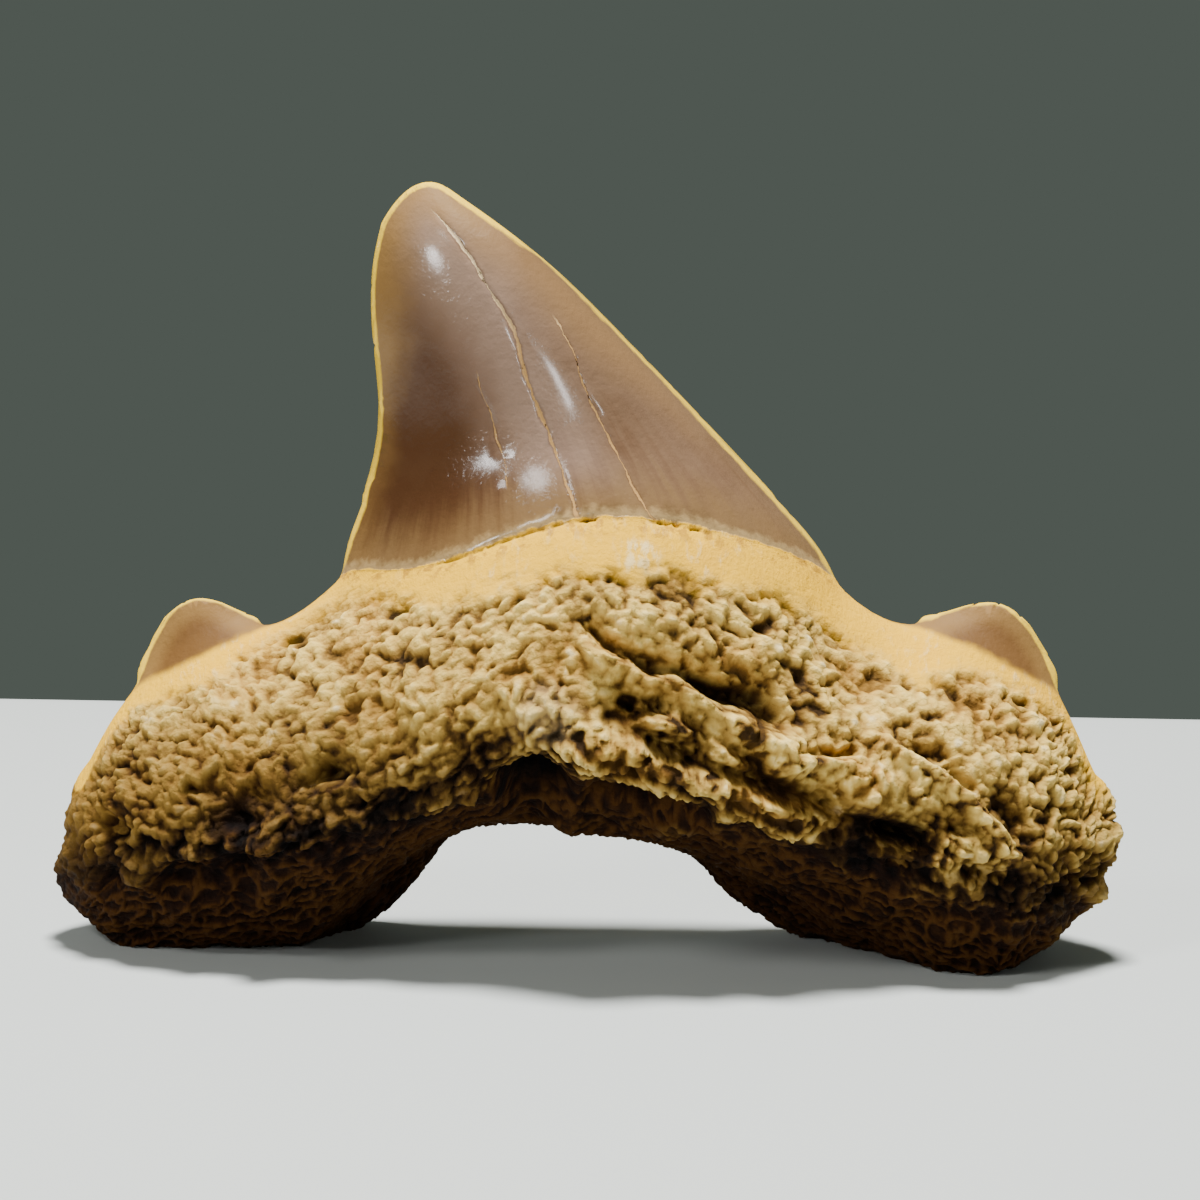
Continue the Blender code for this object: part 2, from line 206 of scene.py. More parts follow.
class Cage:
    """Named points and the faces between them, with what the wear and the colours need at each point."""

    def __init__(self):
        self.points = {}
        self.faces = []
        self.sharp = {}
        self.loose = []
        self.flow = {}
        self.carried = {"worn": {}, "below_enamel": {}}

    def put(self, name, position, flow, worn, below_enamel):
        self.points[name] = np.array(position, float)
        self.flow[name] = flow
        self.carried["worn"][name] = worn
        self.carried["below_enamel"][name] = below_enamel

    def face(self, *names):
        corners = list(dict.fromkeys(names))
        if len(corners) > 2:
            self.faces.append(corners)

    def to_object(self, name):
        order = {point: k for k, point in enumerate(self.points)}
        mesh = bpy.data.meshes.new(name)
        coordinates = [Vector(p * MM) for p in self.points.values()]
        mesh.from_pydata(coordinates, [], [[order[p] for p in face] for face in self.faces])
        sharp = {frozenset((order[a], order[b])): value for (a, b), value in self.sharp.items()}
        crease = mesh.attributes.new("crease_edge", "FLOAT", "EDGE")
        for edge in mesh.edges:
            crease.data[edge.index].value = sharp.get(frozenset(edge.vertices), 0)
        for kind, values in self.carried.items():
            carry(mesh, kind, [values[p] for p in self.points])
        flow = np.array([(*self.flow[p], 0) for p in self.points]).ravel()
        carry(mesh, "flow", flow, "FLOAT_VECTOR", "vector")
        return add_object(name, mesh)


# %% [markdown]
# Each ring starts at the top of the root, comes down the bulging inner side to the crest, turns under to the
# rim, crosses the flat foot to the heel and goes up the flatter outer side. Every point also carries its
# **flow**: how far it is along the root and how far round it, in millimetres. Bone grows along such lines, so
# later the lumps and the fibres follow them instead of lying on the tooth like wallpaper.

# %% The rings of the root
END_WORN = 1.0
ROW_WORN = [0.0, 0.3, 1.0, 1.0, 1.0, 1.0, 0.6, 0.1, 0.1, 0.15, 0.15, 0.05]
CREST_ROW = 3
END_FLOW = 1.5


def guide(stops):
    """The point at every station, on a smooth curve through the stops."""
    at = sorted(stops)
    known = np.array([stops[s] for s in at], float)
    slopes = np.gradient(known, at, axis=0)
    points = {}
    for station in range(at[0], at[-1] + 1):
        k = min(bisect.bisect_right(at, station) - 1, len(at) - 2)
        span = at[k + 1] - at[k]
        t = (station - at[k]) / span
        points[station] = (
            (2 * t**3 - 3 * t**2 + 1) * known[k]
            + (t**3 - 2 * t**2 + t) * span * slopes[k]
            + (3 * t**2 - 2 * t**3) * known[k + 1]
            + (t**3 - t**2) * span * slopes[k + 1]
        )
    return points


def mix(a, b, t):
    return a + (b - a) * t


def ring(top, crest, rim, heel, back_top, outer_depth):
    """The points round one section of the root, down the inner side and up the outer side."""
    rows = [top]
    for t in (1 / 3, 2 / 3):
        swell = math.sin(t * math.pi / 2)
        drop = mix(t, 1 - math.cos(t * math.pi / 2), 0.3)
        rows.append(mix(top, crest, np.array([t, swell, drop])))
    rows.append(crest)
    for t in (1 / 3, 2 / 3):
        back = mix(t, 1 - math.cos(t * math.pi / 2), 0.6)
        drop = mix(t, math.sin(t * math.pi / 2), 0.6)
        rows.append(mix(crest, rim, np.array([t, back, drop])))
    rows += [rim, heel]
    for k in range(1, RING_ROWS - 1):
        t = k / (RING_ROWS - 1)
        swell = 4 * t * (1 - t) * (outer_depth - (heel[1] + back_top[1]) / 2)
        rows.append(mix(heel, back_top, t) + np.array([0, swell, 0]))
    return rows


def lengths(points):
    """How far along a line each of its points is."""
    steps = np.linalg.norm(np.diff(np.array(points), axis=0), axis=1)
    return np.concatenate([[0], np.cumsum(steps)])


def add_root(cage):
    tops, back_tops = guide(TOP_LINE), {}
    for first, last in (LEFT_CUSP, CROWN, RIGHT_CUSP):
        stops = {s: p for s, p in BACK_ENAMEL.items() if first < s < last}
        stops[first] = tops[first]
        stops[last] = tops[last]
        along = guide(stops)
        back_tops.update({s: along[s] for s in range(first + 1, last)})
    crests, rims, heels = guide(CREST_LINE), guide(BASAL_RIM), guide(HEEL_LINE)
    along_root = lengths([crests[s] for s in range(LAST_STATION + 1)])
    for s in range(LAST_STATION + 1):
        back_top = back_tops.get(s, tops[s])
        outer_depth = OUTER_END_DEPTH if s in (0, LAST_STATION) else OUTER_FACE_DEPTH
        rows = ring(tops[s], crests[s], rims[s], heels[s], back_top, outer_depth)
        from_top = list(lengths(rows[: RING_ROWS + 1]))
        from_top += list(lengths([back_top] + rows[:RING_ROWS:-1])[:0:-1])
        crest_flow = from_top[CREST_ROW]
        for row, (point, below) in enumerate(zip(rows, from_top)):
            cage.put(("root", s, row), point, (along_root[s], below - crest_flow), ROW_WORN[row], below)
        if s in back_tops:
            cage.put(("root", s, "back top"), back_top, (along_root[s], -crest_flow), 0, 0)
    for row in range(1, RING_ROWS):
        for end, inner, points in (("left end", 0, LEFT_END), ("right end", LAST_STATION, RIGHT_END)):
            beside = ("root", inner, row)
            outward = END_FLOW if inner else -END_FLOW
            flow = (cage.flow[beside][0] + outward, cage.flow[beside][1])
            cage.put((end, row), points[row - 1], flow, END_WORN, cage.carried["below_enamel"][beside])

    def name(station, row):
        if station in (-1, LAST_STATION + 1):
            end = "left end" if station < 0 else "right end"
            inner = min(max(station, 0), LAST_STATION)
            if row % RING_ROWS == 0:
                return ("root", inner, row % (2 * RING_ROWS))
            return (end, min(row, 2 * RING_ROWS - row))
        if row == 2 * RING_ROWS:
            return ("root", station, "back top" if station in back_tops else 0)
        return ("root", station, row)

    for s in range(-1, LAST_STATION + 1):
        for row in range(2 * RING_ROWS):
            cage.face(name(s, row), name(s, row + 1), name(s + 1, row + 1), name(s + 1, row))


cage = Cage()
add_root(cage)
print("root:", len(cage.points), "points,", len(cage.faces), "faces")

# %% [markdown]
# The crown and the cusplets are blades: an inner and an outer face that meet in one cutting edge. Each face
# is a grid stretched between its two edges, and it bulges most in the middle. The edge where they meet is
# creased, which tells the Subdivision Surface modifier to keep it sharp.

# %% The blades
EDGE_FOOT_SHARPNESS = 0.5
LOOSE_SHARE = 0.6


def add_blade(cage, part, span, edges, pull, depths):
    """A crown or a cusplet: an inner and an outer face that meet in one sharp edge."""
    first, last = span
    left_edge, right_edge = edges
    columns, rows = last - first, len(left_edge)

    def name(side, i, j):
        if j == 0:
            return ("root", first + i, "back top" if side == "back" and 0 < i < columns else 0)
        if i in (0, columns) or j == rows:
            return (part, "edge", i, j)
        return (part, side, i, j)

    def tip(t):
        a, b, c = (np.array(p) for p in (left_edge[-1], pull, right_edge[-1]))
        return (1 - t) ** 2 * a + 2 * t * (1 - t) * b + t**2 * c

    for side, sign, face_depths in (("front", -1, depths[0]), ("back", 1, depths[1])):
        base = np.array([cage.points[name(side, i, 0)] for i in range(columns + 1)])
        left = [base[0][[0, 2]]] + [np.array(p) for p in left_edge]
        right = [base[-1][[0, 2]]] + [np.array(p) for p in right_edge]
        for j in range(1, rows + 1):
            v = j / rows
            for i in range(columns + 1):
                u = i / columns
                x, z = (
                    mix(left[j], right[j], u)
                    + mix(base[i][[0, 2]], tip(u), v)
                    - mix(mix(left[0], right[0], u), mix(left[-1], right[-1], u), v)
                )
                y = sign * face_depths[j] * (1 - (2 * u - 1) ** 2)
                foot_flow = cage.flow[name(side, i, 0)]
                risen = z - base[i][2]
                cage.put(name(side, i, j), (x, y, z), (foot_flow[0], foot_flow[1] - risen), 0, -risen)
        for j in range(rows):
            for i in range(columns):
                around = [(i, j), (i + 1, j), (i + 1, j + 1), (i, j + 1)]
                cage.face(*(name(side, *corner) for corner in around[::-sign]))
    rim = [name("front", 0, j) for j in range(rows + 1)]
    rim += [name("front", i, rows) for i in range(1, columns + 1)]
    rim += [name("front", columns, j) for j in range(rows - 1, -1, -1)]
    cage.sharp.update({pair: 1 for pair in zip(rim, rim[1:])})
    feet = [tuple(rim[:2]), tuple(rim[-2:])]
    cage.sharp.update({pair: EDGE_FOOT_SHARPNESS for pair in feet})
    cage.loose += [rim[0], rim[-1]]
    return feet


edge_feet = []
for part, span, edges, pull, depths in (
    ("crown", CROWN, CROWN_EDGES, CROWN_TIP_PULL, CROWN_DEPTHS),
    ("left cusp", LEFT_CUSP, LEFT_CUSP_EDGES, LEFT_CUSP_PULL, CUSP_DEPTHS),
    ("right cusp", RIGHT_CUSP, RIGHT_CUSP_EDGES, RIGHT_CUSP_PULL, CUSP_DEPTHS),
):
    edge_feet += add_blade(cage, part, span, edges, pull, depths)
print("whole cage:", len(cage.points), "points,", len(cage.faces), "faces")

# %% [markdown]
# Subdivision pulls a skin inside its cage, as a stretched cloth cuts the corners of its frame. So the cage is
# settled first: each point moves outwards by the gap between where it was meant to be and where the skin is.

# %% Settle the cage and subdivide it
COARSE_LEVELS = 3
FINE_LEVELS = 5
FIT_ROUNDS = 2


def evaluated(made):
    return made.evaluated_get(bpy.context.evaluated_depsgraph_get())


def settle(made, cage):
    """Moves the cage's points until the smooth surface passes near where they were put."""
    targets = [vertex.co.copy() for vertex in made.data.vertices]
    shares = {k: LOOSE_SHARE if name in cage.loose else 1 for k, name in enumerate(cage.points)}
    for _ in range(FIT_ROUNDS):
        smooth = evaluated(made).to_mesh()
        steps = {k: share * (targets[k] - smooth.vertices[k].co) for k, share in shares.items()}
        evaluated(made).to_mesh_clear()
        for k, step in steps.items():
            made.data.vertices[k].co += step
        made.data.update()


form = cage.to_object("form")
smoothing = form.modifiers.new("smooth", "SUBSURF")
smoothing.levels = smoothing.render_levels = COARSE_LEVELS
settle(form, cage)
smoothing.levels = smoothing.render_levels = FINE_LEVELS
skin = bpy.data.meshes.new_from_object(evaluated(form))
bpy.data.objects.remove(form)
print("smooth skin:", len(skin.vertices), "points")

# %% [markdown]
# The enamel is thinnest along its cutting edges, and palest there, partly from its own colour and partly from
# a painted glow of light shining through, so the finish needs to know how far it is from them. On the
# cusplets two neighbouring faces of the skin meet at a sharp angle there. The crown is blunter, so its edges
# are found from
# its outline: the outermost points in many thin slices. The foot of each edge is rounded and is taken from
# the cage.
#
# All these points go into a k-d tree, which finds the nearest one quickly. The distance is taken mostly
# across the blade, so that the painted bright line looks as wide on a steep side as on a flat one.

# %% How far each point is from a cutting edge
SHARP = 0.85
OUTLINE_FROM = 17.5
OUTLINE_SLICE = 0.08
TIP_FROM = 26.5
DEPTH_SHARE = 0.3
FAR_FROM_EDGE = 5.0
POINTS_PER_FOOT = 21


def edge_points(mesh):
    """The places where two faces of a smooth mesh meet at a sharp angle."""
    edge_of_corner = np.zeros(len(mesh.loops), int)
    mesh.loops.foreach_get("edge_index", edge_of_corner)
    corners = np.zeros(len(mesh.polygons), int)
    mesh.polygons.foreach_get("loop_total", corners)
    normals = np.zeros(len(mesh.polygons) * 3)
    mesh.polygon_normals.foreach_get("vector", normals)
    face_of_corner = np.repeat(np.arange(len(corners)), corners)
    faces_by_edge = face_of_corner[np.argsort(edge_of_corner, kind="stable")].reshape(-1, 2)
    beside = normals.reshape(-1, 3)[faces_by_edge]
    sharp = np.flatnonzero((beside[:, 0] * beside[:, 1]).sum(axis=1) < SHARP)
    return sorted({k for edge in sharp for k in mesh.edges[int(edge)].vertices})


def outline_points(mesh):
    """The outermost points of the crown, seen from the front."""
    x, _, z = np.array([vertex.co for vertex in mesh.vertices]).T / MM
    crown, tip = np.flatnonzero(z > OUTLINE_FROM), np.flatnonzero(z > TIP_FROM)
    found = []
    for chosen, place, out in ((crown, z, x), (crown, z, -x), (tip, x, z)):
        slices = np.floor(place[chosen] / OUTLINE_SLICE)
        for k in np.unique(slices):
            inside = chosen[slices == k]
            found.append(int(inside[out[inside].argmax()]))
    return found


sharp_points = [k for k in edge_points(skin) if skin.vertices[k].co.z < OUTLINE_FROM * MM]
on_edges = [skin.vertices[k].co for k in sharp_points + outline_points(skin)]
for foot, start in edge_feet:
    shares = np.linspace(0, 1, POINTS_PER_FOOT)
    on_edges += [Vector(mix(cage.points[foot], cage.points[start], t) * MM) for t in shares]
finder = kdtree.KDTree(len(on_edges))
for k, place in enumerate(on_edges):
    finder.insert((place.x, 0, place.z), k)
finder.balance()
from_edge = []
for vertex in skin.vertices:
    _, k, across = finder.find((vertex.co.x, 0, vertex.co.z))
    deep = abs(vertex.co.y - on_edges[k].y) * DEPTH_SHARE
    from_edge.append(min(max(across, deep) / MM, FAR_FROM_EDGE))
carry(skin, "from_edge", from_edge)
print("cutting edges:", len(on_edges), "points")

# %% [markdown]
# ## Ledges, hollows and pits
#
# The inner side of this root is broken by ledges that run down to the right, with deep hollows under them.
# They are too particular for a repeating pattern, so each is a line of points with a half width and a height
# in millimetres, above 0 for a ridge and below 0 for a hollow. How high the bone is lifted is kept on each
# point of the skin, and Geometry Nodes moves the skin later.

# %% Ridges and hollows of the root, as (half width, height, points along them)
RELIEF = [
    (0.7, -0.7, [(0.3, -7.2, 12.9), (0.9, -7.4, 12.3)]),
    (0.7, -1.2, [(2, -7.5, 11.9), (3.5, -7.4, 11.3), (4.8, -7.2, 10.7), (6.1, -6.8, 10.6), (6.7, -7, 10)]),
    (0.6, 0.6, [(0.7, -7.6, 12), (2.8, -7.5, 11.2), (4.3, -7.5, 10.2), (5.9, -7.3, 9.3), (7, -7, 8.8)]),
    (0.5, -0.8, [(1.5, -8.0, 10.5), (2.5, -7.8, 10.5), (4.5, -7.6, 9.7)]),
    (0.5, 0.5, [(2.0, -8.0, 9.9), (4.3, -7.7, 9.3)]),
    (0.5, 0.5, [(4.7, -7.7, 8.7), (6.1, -7.5, 8.0)]),
    (0.5, -0.6, [(1.8, -8.1, 9.4), (3.6, -7.9, 8.8), (5.4, -7.6, 7.9)]),
    (0.8, 1.0, [(-0.5, -8.1, 8.8), (1.4, -8.1, 8.6), (3.5, -7.9, 7.9), (6.0, -7.5, 7.1), (7.6, -7.3, 6.5)]),
    (0.7, -0.9, [(0.5, -6.9, 7.1), (2.6, -6.7, 6.7), (4.0, -6.9, 6.4)]),
    (0.9, 0.6, [(-0.9, -6.5, 6.9), (-0.2, -4.2, 5.6), (1.2, -3.9, 5.3), (2.8, -5.4, 5.7), (4.1, -6.9, 6.2)]),
    (1.1, -2.0, [(-2.0, -7.3, 7.4), (-1.6, -6.7, 7.0)]),
    (0.9, 0.5, [(-2.0, -7.9, 9.9), (-1.0, -8.0, 10.0)]),
    (0.5, -0.7, [(6.1, -7.5, 7.7), (7.4, -7.3, 7.2), (8.5, -7.1, 6.9)]),
    (0.6, 0.5, [(10.8, -5.6, 8.6), (12.5, -5.9, 7.6), (14.4, -6.0, 6.4), (15.0, -6.1, 5.5)]),
    (0.5, -0.6, [(11.4, -5.6, 8.9), (12.2, -5.7, 8.5), (14.4, -5.9, 7.2), (15.6, -5.8, 6.0)]),
    (0.8, -1.1, [(11.0, -6.8, 5.8), (11.8, -6.7, 5.6)]),
    (0.7, 0.6, [(12.8, -6.6, 5.1), (14.4, -6.4, 4.6)]),
    (0.8, 0.5, [(7.2, -7.1, 8.1), (8.4, -6.8, 8.1), (9.6, -6.7, 7.4), (10.6, -6.8, 6.6)]),
    (0.5, -0.6, [(18.7, -3.4, 5.8), (18.8, -3.4, 5.4)]),
    (0.6, -0.4, [(-17.2, -5.1, 5.1), (-16.7, -5.3, 5.0)]),
    (0.4, 0.5, [(-11.6, -6.4, 5.0), (-10.6, -6.6, 5.9)]),
    (0.6, 0.4, [(-16.1, -5.3, 3.4), (-14.7, -5.9, 4.3), (-12.1, -6.3, 4.9), (-9.5, -6.7, 5.6)]),
    (0.8, -0.8, [(-15.0, -5.4, 3.2), (-12.6, -5.8, 3.8)]),
    (0.5, -0.6, [(-9.2, -6.5, 7.6), (-8.8, -6.5, 7.6)]),
    (0.8, 0.3, [(19.9, -2.4, 5.2), (19.9, -1.0, 5.0)]),
    (0.5, -0.2, [(19.4, -2.6, 3.3), (19.4, -1.0, 3.3)]),
    (0.6, 0.5, [(18.9, -2.6, 2.6), (19.0, -1.2, 2.6)]),
]
LUMP_SPACING = 1.5
LUMP_HEIGHT = 0.35
LUMP_BIAS = 0.4
print("broad ledges and hollows:", len(RELIEF))

# %% [markdown]
# The solid keeps only the broad ledges. The finished tooth also has the sharper crests on them and the narrow
# clefts between them, which go in the same way.

# %% Narrow crests and clefts, only on the finished tooth
FINE_RELIEF = [
    (0.3, -0.5, [
        (0.1, -7.2, 13.1), (0.6, -7.4, 12.4), (1.5, -7.5, 12.1), (2.2, -7.5, 11.6), (3.4, -7.3, 11.6),
        (4.4, -7.2, 11.0), (5.1, -7.1, 10.8), (6.3, -6.6, 10.7)
    ]),
    (0.3, 0.4, [
        (0.0, -7.4, 12.4), (0.7, -7.6, 11.8), (1.5, -7.6, 11.8), (2.2, -7.7, 11.2), (3.1, -7.4, 11.3),
        (3.6, -7.5, 10.9), (4.1, -7.5, 10.4), (4.8, -7.5, 9.8), (5.6, -7.4, 9.2), (6.4, -7.3, 8.8),
        (6.8, -7.2, 8.6)
    ]),
    (0.2, -0.6, [(1.2, -7.9, 10.5), (1.7, -8.0, 10.0), (2.6, -7.8, 10.2)]),
    (0.25, -0.6, [(3.6, -7.8, 9.7), (4.3, -7.7, 9.3), (5.3, -7.6, 8.7), (6.1, -7.5, 8.2)]),
    (0.2, 0.3, [(2.1, -8.0, 9.8), (2.8, -7.9, 9.6), (3.5, -7.8, 9.4), (4.2, -7.7, 9.4)]),
    (0.2, 0.25, [(4.4, -7.7, 9.1), (4.8, -7.7, 8.9)]),
    (0.2, 0.25, [(4.0, -7.8, 8.5), (4.8, -7.7, 8.5), (5.7, -7.6, 8.1)]),
    (0.25, -0.68, [
        (2.2, -8.0, 9.0), (3.3, -7.9, 8.6), (3.9, -7.9, 8.2), (4.6, -7.8, 8.1), (5.3, -7.7, 7.8)
    ]),
    (0.3, 0.35, [
        (-0.2, -8.1, 9.0), (1.3, -8.1, 9.1), (2.2, -8.0, 8.7), (3.0, -7.9, 8.2), (4.3, -7.8, 7.9),
        (5.2, -7.7, 7.6), (6.1, -7.5, 7.2), (7.4, -7.3, 6.7)
    ]),
    (0.3, -0.6, [(0.1, -6.2, 6.7), (1.2, -6.4, 6.7), (1.9, -6.3, 6.5)]),
    (0.5, -0.75, [(-2.1, -6.3, 6.7), (-1.5, -6.2, 6.8), (-1.0, -6.4, 6.8)]),
    (0.35, -0.9, [(5.9, -7.6, 7.7), (6.6, -7.4, 7.4), (7.1, -7.3, 7.1)]),
    (0.3, 0.3, [(6.7, -7.3, 8.1), (7.7, -7.0, 8.2), (9.2, -6.5, 8.1)]),
    (0.18, -0.6, [(5.8, -5.0, 13.8), (6.5, -4.5, 13.9), (7.1, -4.3, 13.4)]),
    (0.15, -0.45, [(2.3, -6.5, 13.9), (3.0, -6.5, 13.7)]),
    (0.15, -0.45, [(4.9, -6.1, 13.0), (5.2, -6.0, 12.9)]),
    (0.12, -0.38, [(-1.8, -6.5, 13.8), (-1.6, -6.6, 13.8)]),
    (0.12, -0.3, [(4.1, -5.8, 14.2), (4.2, -5.7, 14.2)]),
    (0.25, 0.3, [(-9.9, -6.6, 6.7), (-8.6, -6.8, 7.0), (-8.0, -6.9, 7.3)]),
    (0.35, -0.68, [(-9.3, -6.5, 7.6), (-9.9, -6.4, 7.1)]),
    (0.3, -0.52, [(-11.6, -6.2, 6.6), (-12.1, -6.1, 6.8)]),
    (0.35, -0.45, [(-17.6, -4.6, 5.2), (-17.2, -5.0, 4.9)]),
    (0.3, -0.38, [(-14.3, -5.7, 6.6), (-14.1, -5.7, 6.6)]),
    (0.4, -0.45, [(-17.5, -4.4, 2.9), (-17.3, -4.6, 3.0)]),
    (0.3, 0.35, [
        (-14.7, -5.9, 4.3), (-12.9, -6.2, 4.6), (-11.6, -6.4, 5.1), (-10.8, -6.5, 5.0),
        (-9.5, -6.8, 5.6), (-8.4, -6.9, 5.7), (-7.3, -7.0, 6.0), (-6.0, -7.3, 6.6), (-4.7, -7.2, 6.8),
        (-3.1, -6.7, 6.8)
    ]),
    (0.25, 0.3, [
        (10.6, -5.8, 8.5), (11.9, -6.0, 7.9), (13.1, -6.1, 7.2), (14.1, -6.2, 6.3), (14.7, -6.2, 5.5)
    ]),
    (0.25, -0.6, [(13.3, -5.8, 7.7), (14.6, -6.1, 6.2), (15.6, -5.9, 5.3)]),
    (0.3, -0.52, [(17.7, -4.0, 6.0), (17.9, -3.7, 5.8)]),
    (0.4, -0.9, [(10.9, -6.9, 5.5), (12.2, -6.7, 5.4)]),
    (0.3, -0.6, [(7.7, -7.2, 6.9), (9.5, -7.0, 6.4), (10.6, -6.9, 5.9)]),
    (0.35, 0.25, [
        (6.8, -7.3, 8.0), (8.2, -6.8, 8.0), (9.8, -6.5, 7.6), (11.2, -6.3, 7.4), (11.9, -6.5, 6.8),
        (12.7, -6.4, 6.4)
    ]),
    (0.2, -0.52, [(7.2, -7.0, 8.5), (8.8, -6.5, 8.3), (9.5, -6.2, 8.5)]),
    (0.3, 0.3, [(12.7, -6.6, 5.5), (13.9, -6.4, 5.4), (14.7, -6.3, 5.1), (15.5, -6.1, 4.7)]),
    (0.2, -0.52, [(13.2, -6.5, 5.7), (14.0, -6.3, 5.7)]),
    (0.25, 0.3, [(10.9, -6.7, 4.8), (12.0, -6.7, 4.7), (12.8, -6.6, 4.7)]),
    (0.25, -0.6, [(11.0, -6.6, 4.4), (11.4, -6.6, 4.4)]),
    (0.35, -0.6, [(13.7, -6.5, 4.4), (15.0, -6.3, 4.0)]),
]
print("narrow crests and clefts:", len(FINE_RELIEF))

# %% [markdown]
# A line lifts the skin most where it runs and fades to both sides like a rounded weld. Broad lumps from a
# noise are added over the whole of the worn bone.

# %% How far each point of the skin is lifted


def nearness(points, line, half_width):
    """1 on a line through some points, and less beside it."""
    nearest = np.full(len(points), np.inf)
    for a, b in zip(np.array(line[:-1]), np.array(line[1:])):
        along = np.clip((points - a) @ (b - a) / ((b - a) @ (b - a)), 0, 1)
        nearest = np.minimum(nearest, np.linalg.norm(points - a - along[:, None] * (b - a), axis=1))
    return np.exp(-((nearest / half_width) ** 2))


def read(mesh, name, field="value", width=1):
    """The values that a mesh carries under a name, as an array."""
    values = np.zeros(len(mesh.vertices) * width)
    mesh.attributes[name].data.foreach_get(field, values)
    return values.reshape(-1, width) if width > 1 else values


points = read(skin, "position", "vector", 3) / MM
form_tip = Vector(points[points[:, 2].argmax()] * MM)
lift = np.array([LUMP_HEIGHT * (LUMP_BIAS + noise.noise(Vector(p / LUMP_SPACING))) for p in points])
for half_width, height, line in RELIEF + FINE_RELIEF:
    lift += height * nearness(points, line, half_width)
lift *= read(skin, "worn")
carry(skin, "lift", lift)
print("lifted from", lift.min().round(2), "to", lift.max().round(2), "mm")

# %% [markdown]
# ## A short way to write nodes
#
# The wear and the material both need a lot of arithmetic. Written out as nodes and links it hides what is
# being worked out, so a small class wraps a node's output and lets Python's own operators add the Math nodes.
# Any other node comes from one call that takes its type, its settings and the values or links of its inputs.

# %% Nodes from Python expressions


class Field:
    """A node's output, with operators that add Math nodes."""

    def __init__(self, nodes, socket):
        self.nodes = nodes
        self.socket = socket

    def __abs__(self):
        return self.nodes.math("ABSOLUTE", self)

    def __neg__(self):
        return self.nodes.math("MULTIPLY", self, -1)


def operator(kind, turned):
    """A method that adds one kind of Math node for a Field and another Field or number."""

    def method(self, other):
        sides = (other, self) if turned else (self, other)
        return self.nodes.math(kind, *sides)

    return method


SIGNS = {"add": "ADD", "sub": "SUBTRACT", "mul": "MULTIPLY", "truediv": "DIVIDE", "pow": "POWER"}
for sign, kind in SIGNS.items():
    setattr(Field, f"__{sign}__", operator(kind, False))
    setattr(Field, f"__r{sign}__", operator(kind, True))


class Nodes:
    """Adds nodes to one tree."""

    def __init__(self, tree):
        self.tree = tree

    def add(self, kind, settings, inputs, output=0):
        """A node of a type: its settings are made first, then its inputs are set or linked."""
        node = self.tree.nodes.new(kind)
        for name, value in settings.items():
            if name == "stops":
                self.set_stops(node.color_ramp, value)
            elif name == "curve":
                self.set_curve(node.mapping, value)
            else:
                setattr(node, name, value)
        for name, value in inputs.items():
            socket = self.pick(node.inputs, name)
            if isinstance(value, Field):
                self.tree.links.new(value.socket, socket)
            else:
                socket.default_value = value
        return Field(self, self.pick(node.outputs, output))

    def pick(self, sockets, name):
        """A socket by its number, or the one in use with its name."""
        if isinstance(name, int):
            return sockets[name]
        return next(socket for socket in sockets if socket.name == name and socket.enabled)

    def set_stops(self, ramp, stops):
        while len(ramp.elements) < len(stops):
            ramp.elements.new(1.0)
        for element, (position, colour) in zip(ramp.elements, stops):
            element.position = position
            element.color = (*colour, 1.0)

    def set_curve(self, mapping, points):
        curve = mapping.curves[0]
        while len(curve.points) < len(points):
            curve.points.new(0.5, 0.5)
        for point, place in zip(curve.points, points):
            point.location = place
        mapping.update()

    def math(self, operation, *parts):
        return self.add("ShaderNodeMath", {"operation": operation}, dict(enumerate(parts)))

    def ease(self, value, start, end):
        """0 before start and 1 after end, with a soft change between them."""
        inputs = {"Value": value, "From Min": start, "From Max": end, "To Min": 0.0, "To Max": 1.0}
        return self.add("ShaderNodeMapRange", {"interpolation_type": "SMOOTHSTEP"}, inputs)

    def fade(self, value, start, end):
        """1 before start and 0 after end."""
        return 1 - self.ease(value, start, end)

    def clamp(self, value):
        return self.add("ShaderNodeClamp", {}, {"Value": value})

    def noise(self, vector, scale, detail=2.0, roughness=0.5):
        inputs = {"Vector": vector, "Scale": scale, "Detail": detail, "Roughness": roughness}
        return self.add("ShaderNodeTexNoise", {"noise_dimensions": "3D"}, inputs)

    def cells(self, vector, spacing, feature="F1", dimensions="2D", smoothness=0.45):
        """How far it is to the nearest of many scattered points, or to the edge of its cell."""
        settings = {"voronoi_dimensions": dimensions, "feature": feature}
        inputs = {"Vector": vector, "Scale": 1 / spacing}
        if feature == "SMOOTH_F1":
            inputs["Smoothness"] = smoothness
        return self.add("ShaderNodeTexVoronoi", settings, inputs)

    def vector(self, x, y, z):
        return self.add("ShaderNodeCombineXYZ", {}, {"X": x, "Y": y, "Z": z})

    def split(self, vector):
        return [self.add("ShaderNodeSeparateXYZ", {}, {"Vector": vector}, k) for k in range(3)]

    def mix(self, factor, a, b):
        settings = {"data_type": "FLOAT", "clamp_factor": True}
        return self.add("ShaderNodeMix", settings, {"Factor": factor, "A": a, "B": b}, "Result")

    def blend(self, factor, a, b, kind="MIX"):
        """One colour over another, each given as a colour or as a node."""
        settings = {"data_type": "RGBA", "clamp_factor": True, "blend_type": kind}
        a, b = (colour if isinstance(colour, Field) else (*colour, 1.0) for colour in (a, b))
        return self.add("ShaderNodeMix", settings, {0: factor, 6: a, 7: b}, 2)


# %% [markdown]
# ## Cracks, and the gap below the enamel
#
# Enamel that dries and shrinks cracks along the crown and pulls away from the bone below it. Each crack is a
# Float Curve that gives its place across the crown at every height, and noise makes it jagged. Cutting the
# cracks into the cage would need far more faces. Both the wear and the material need the cracks and the gap,
# so they are worked out by two functions that write nodes into either tree.

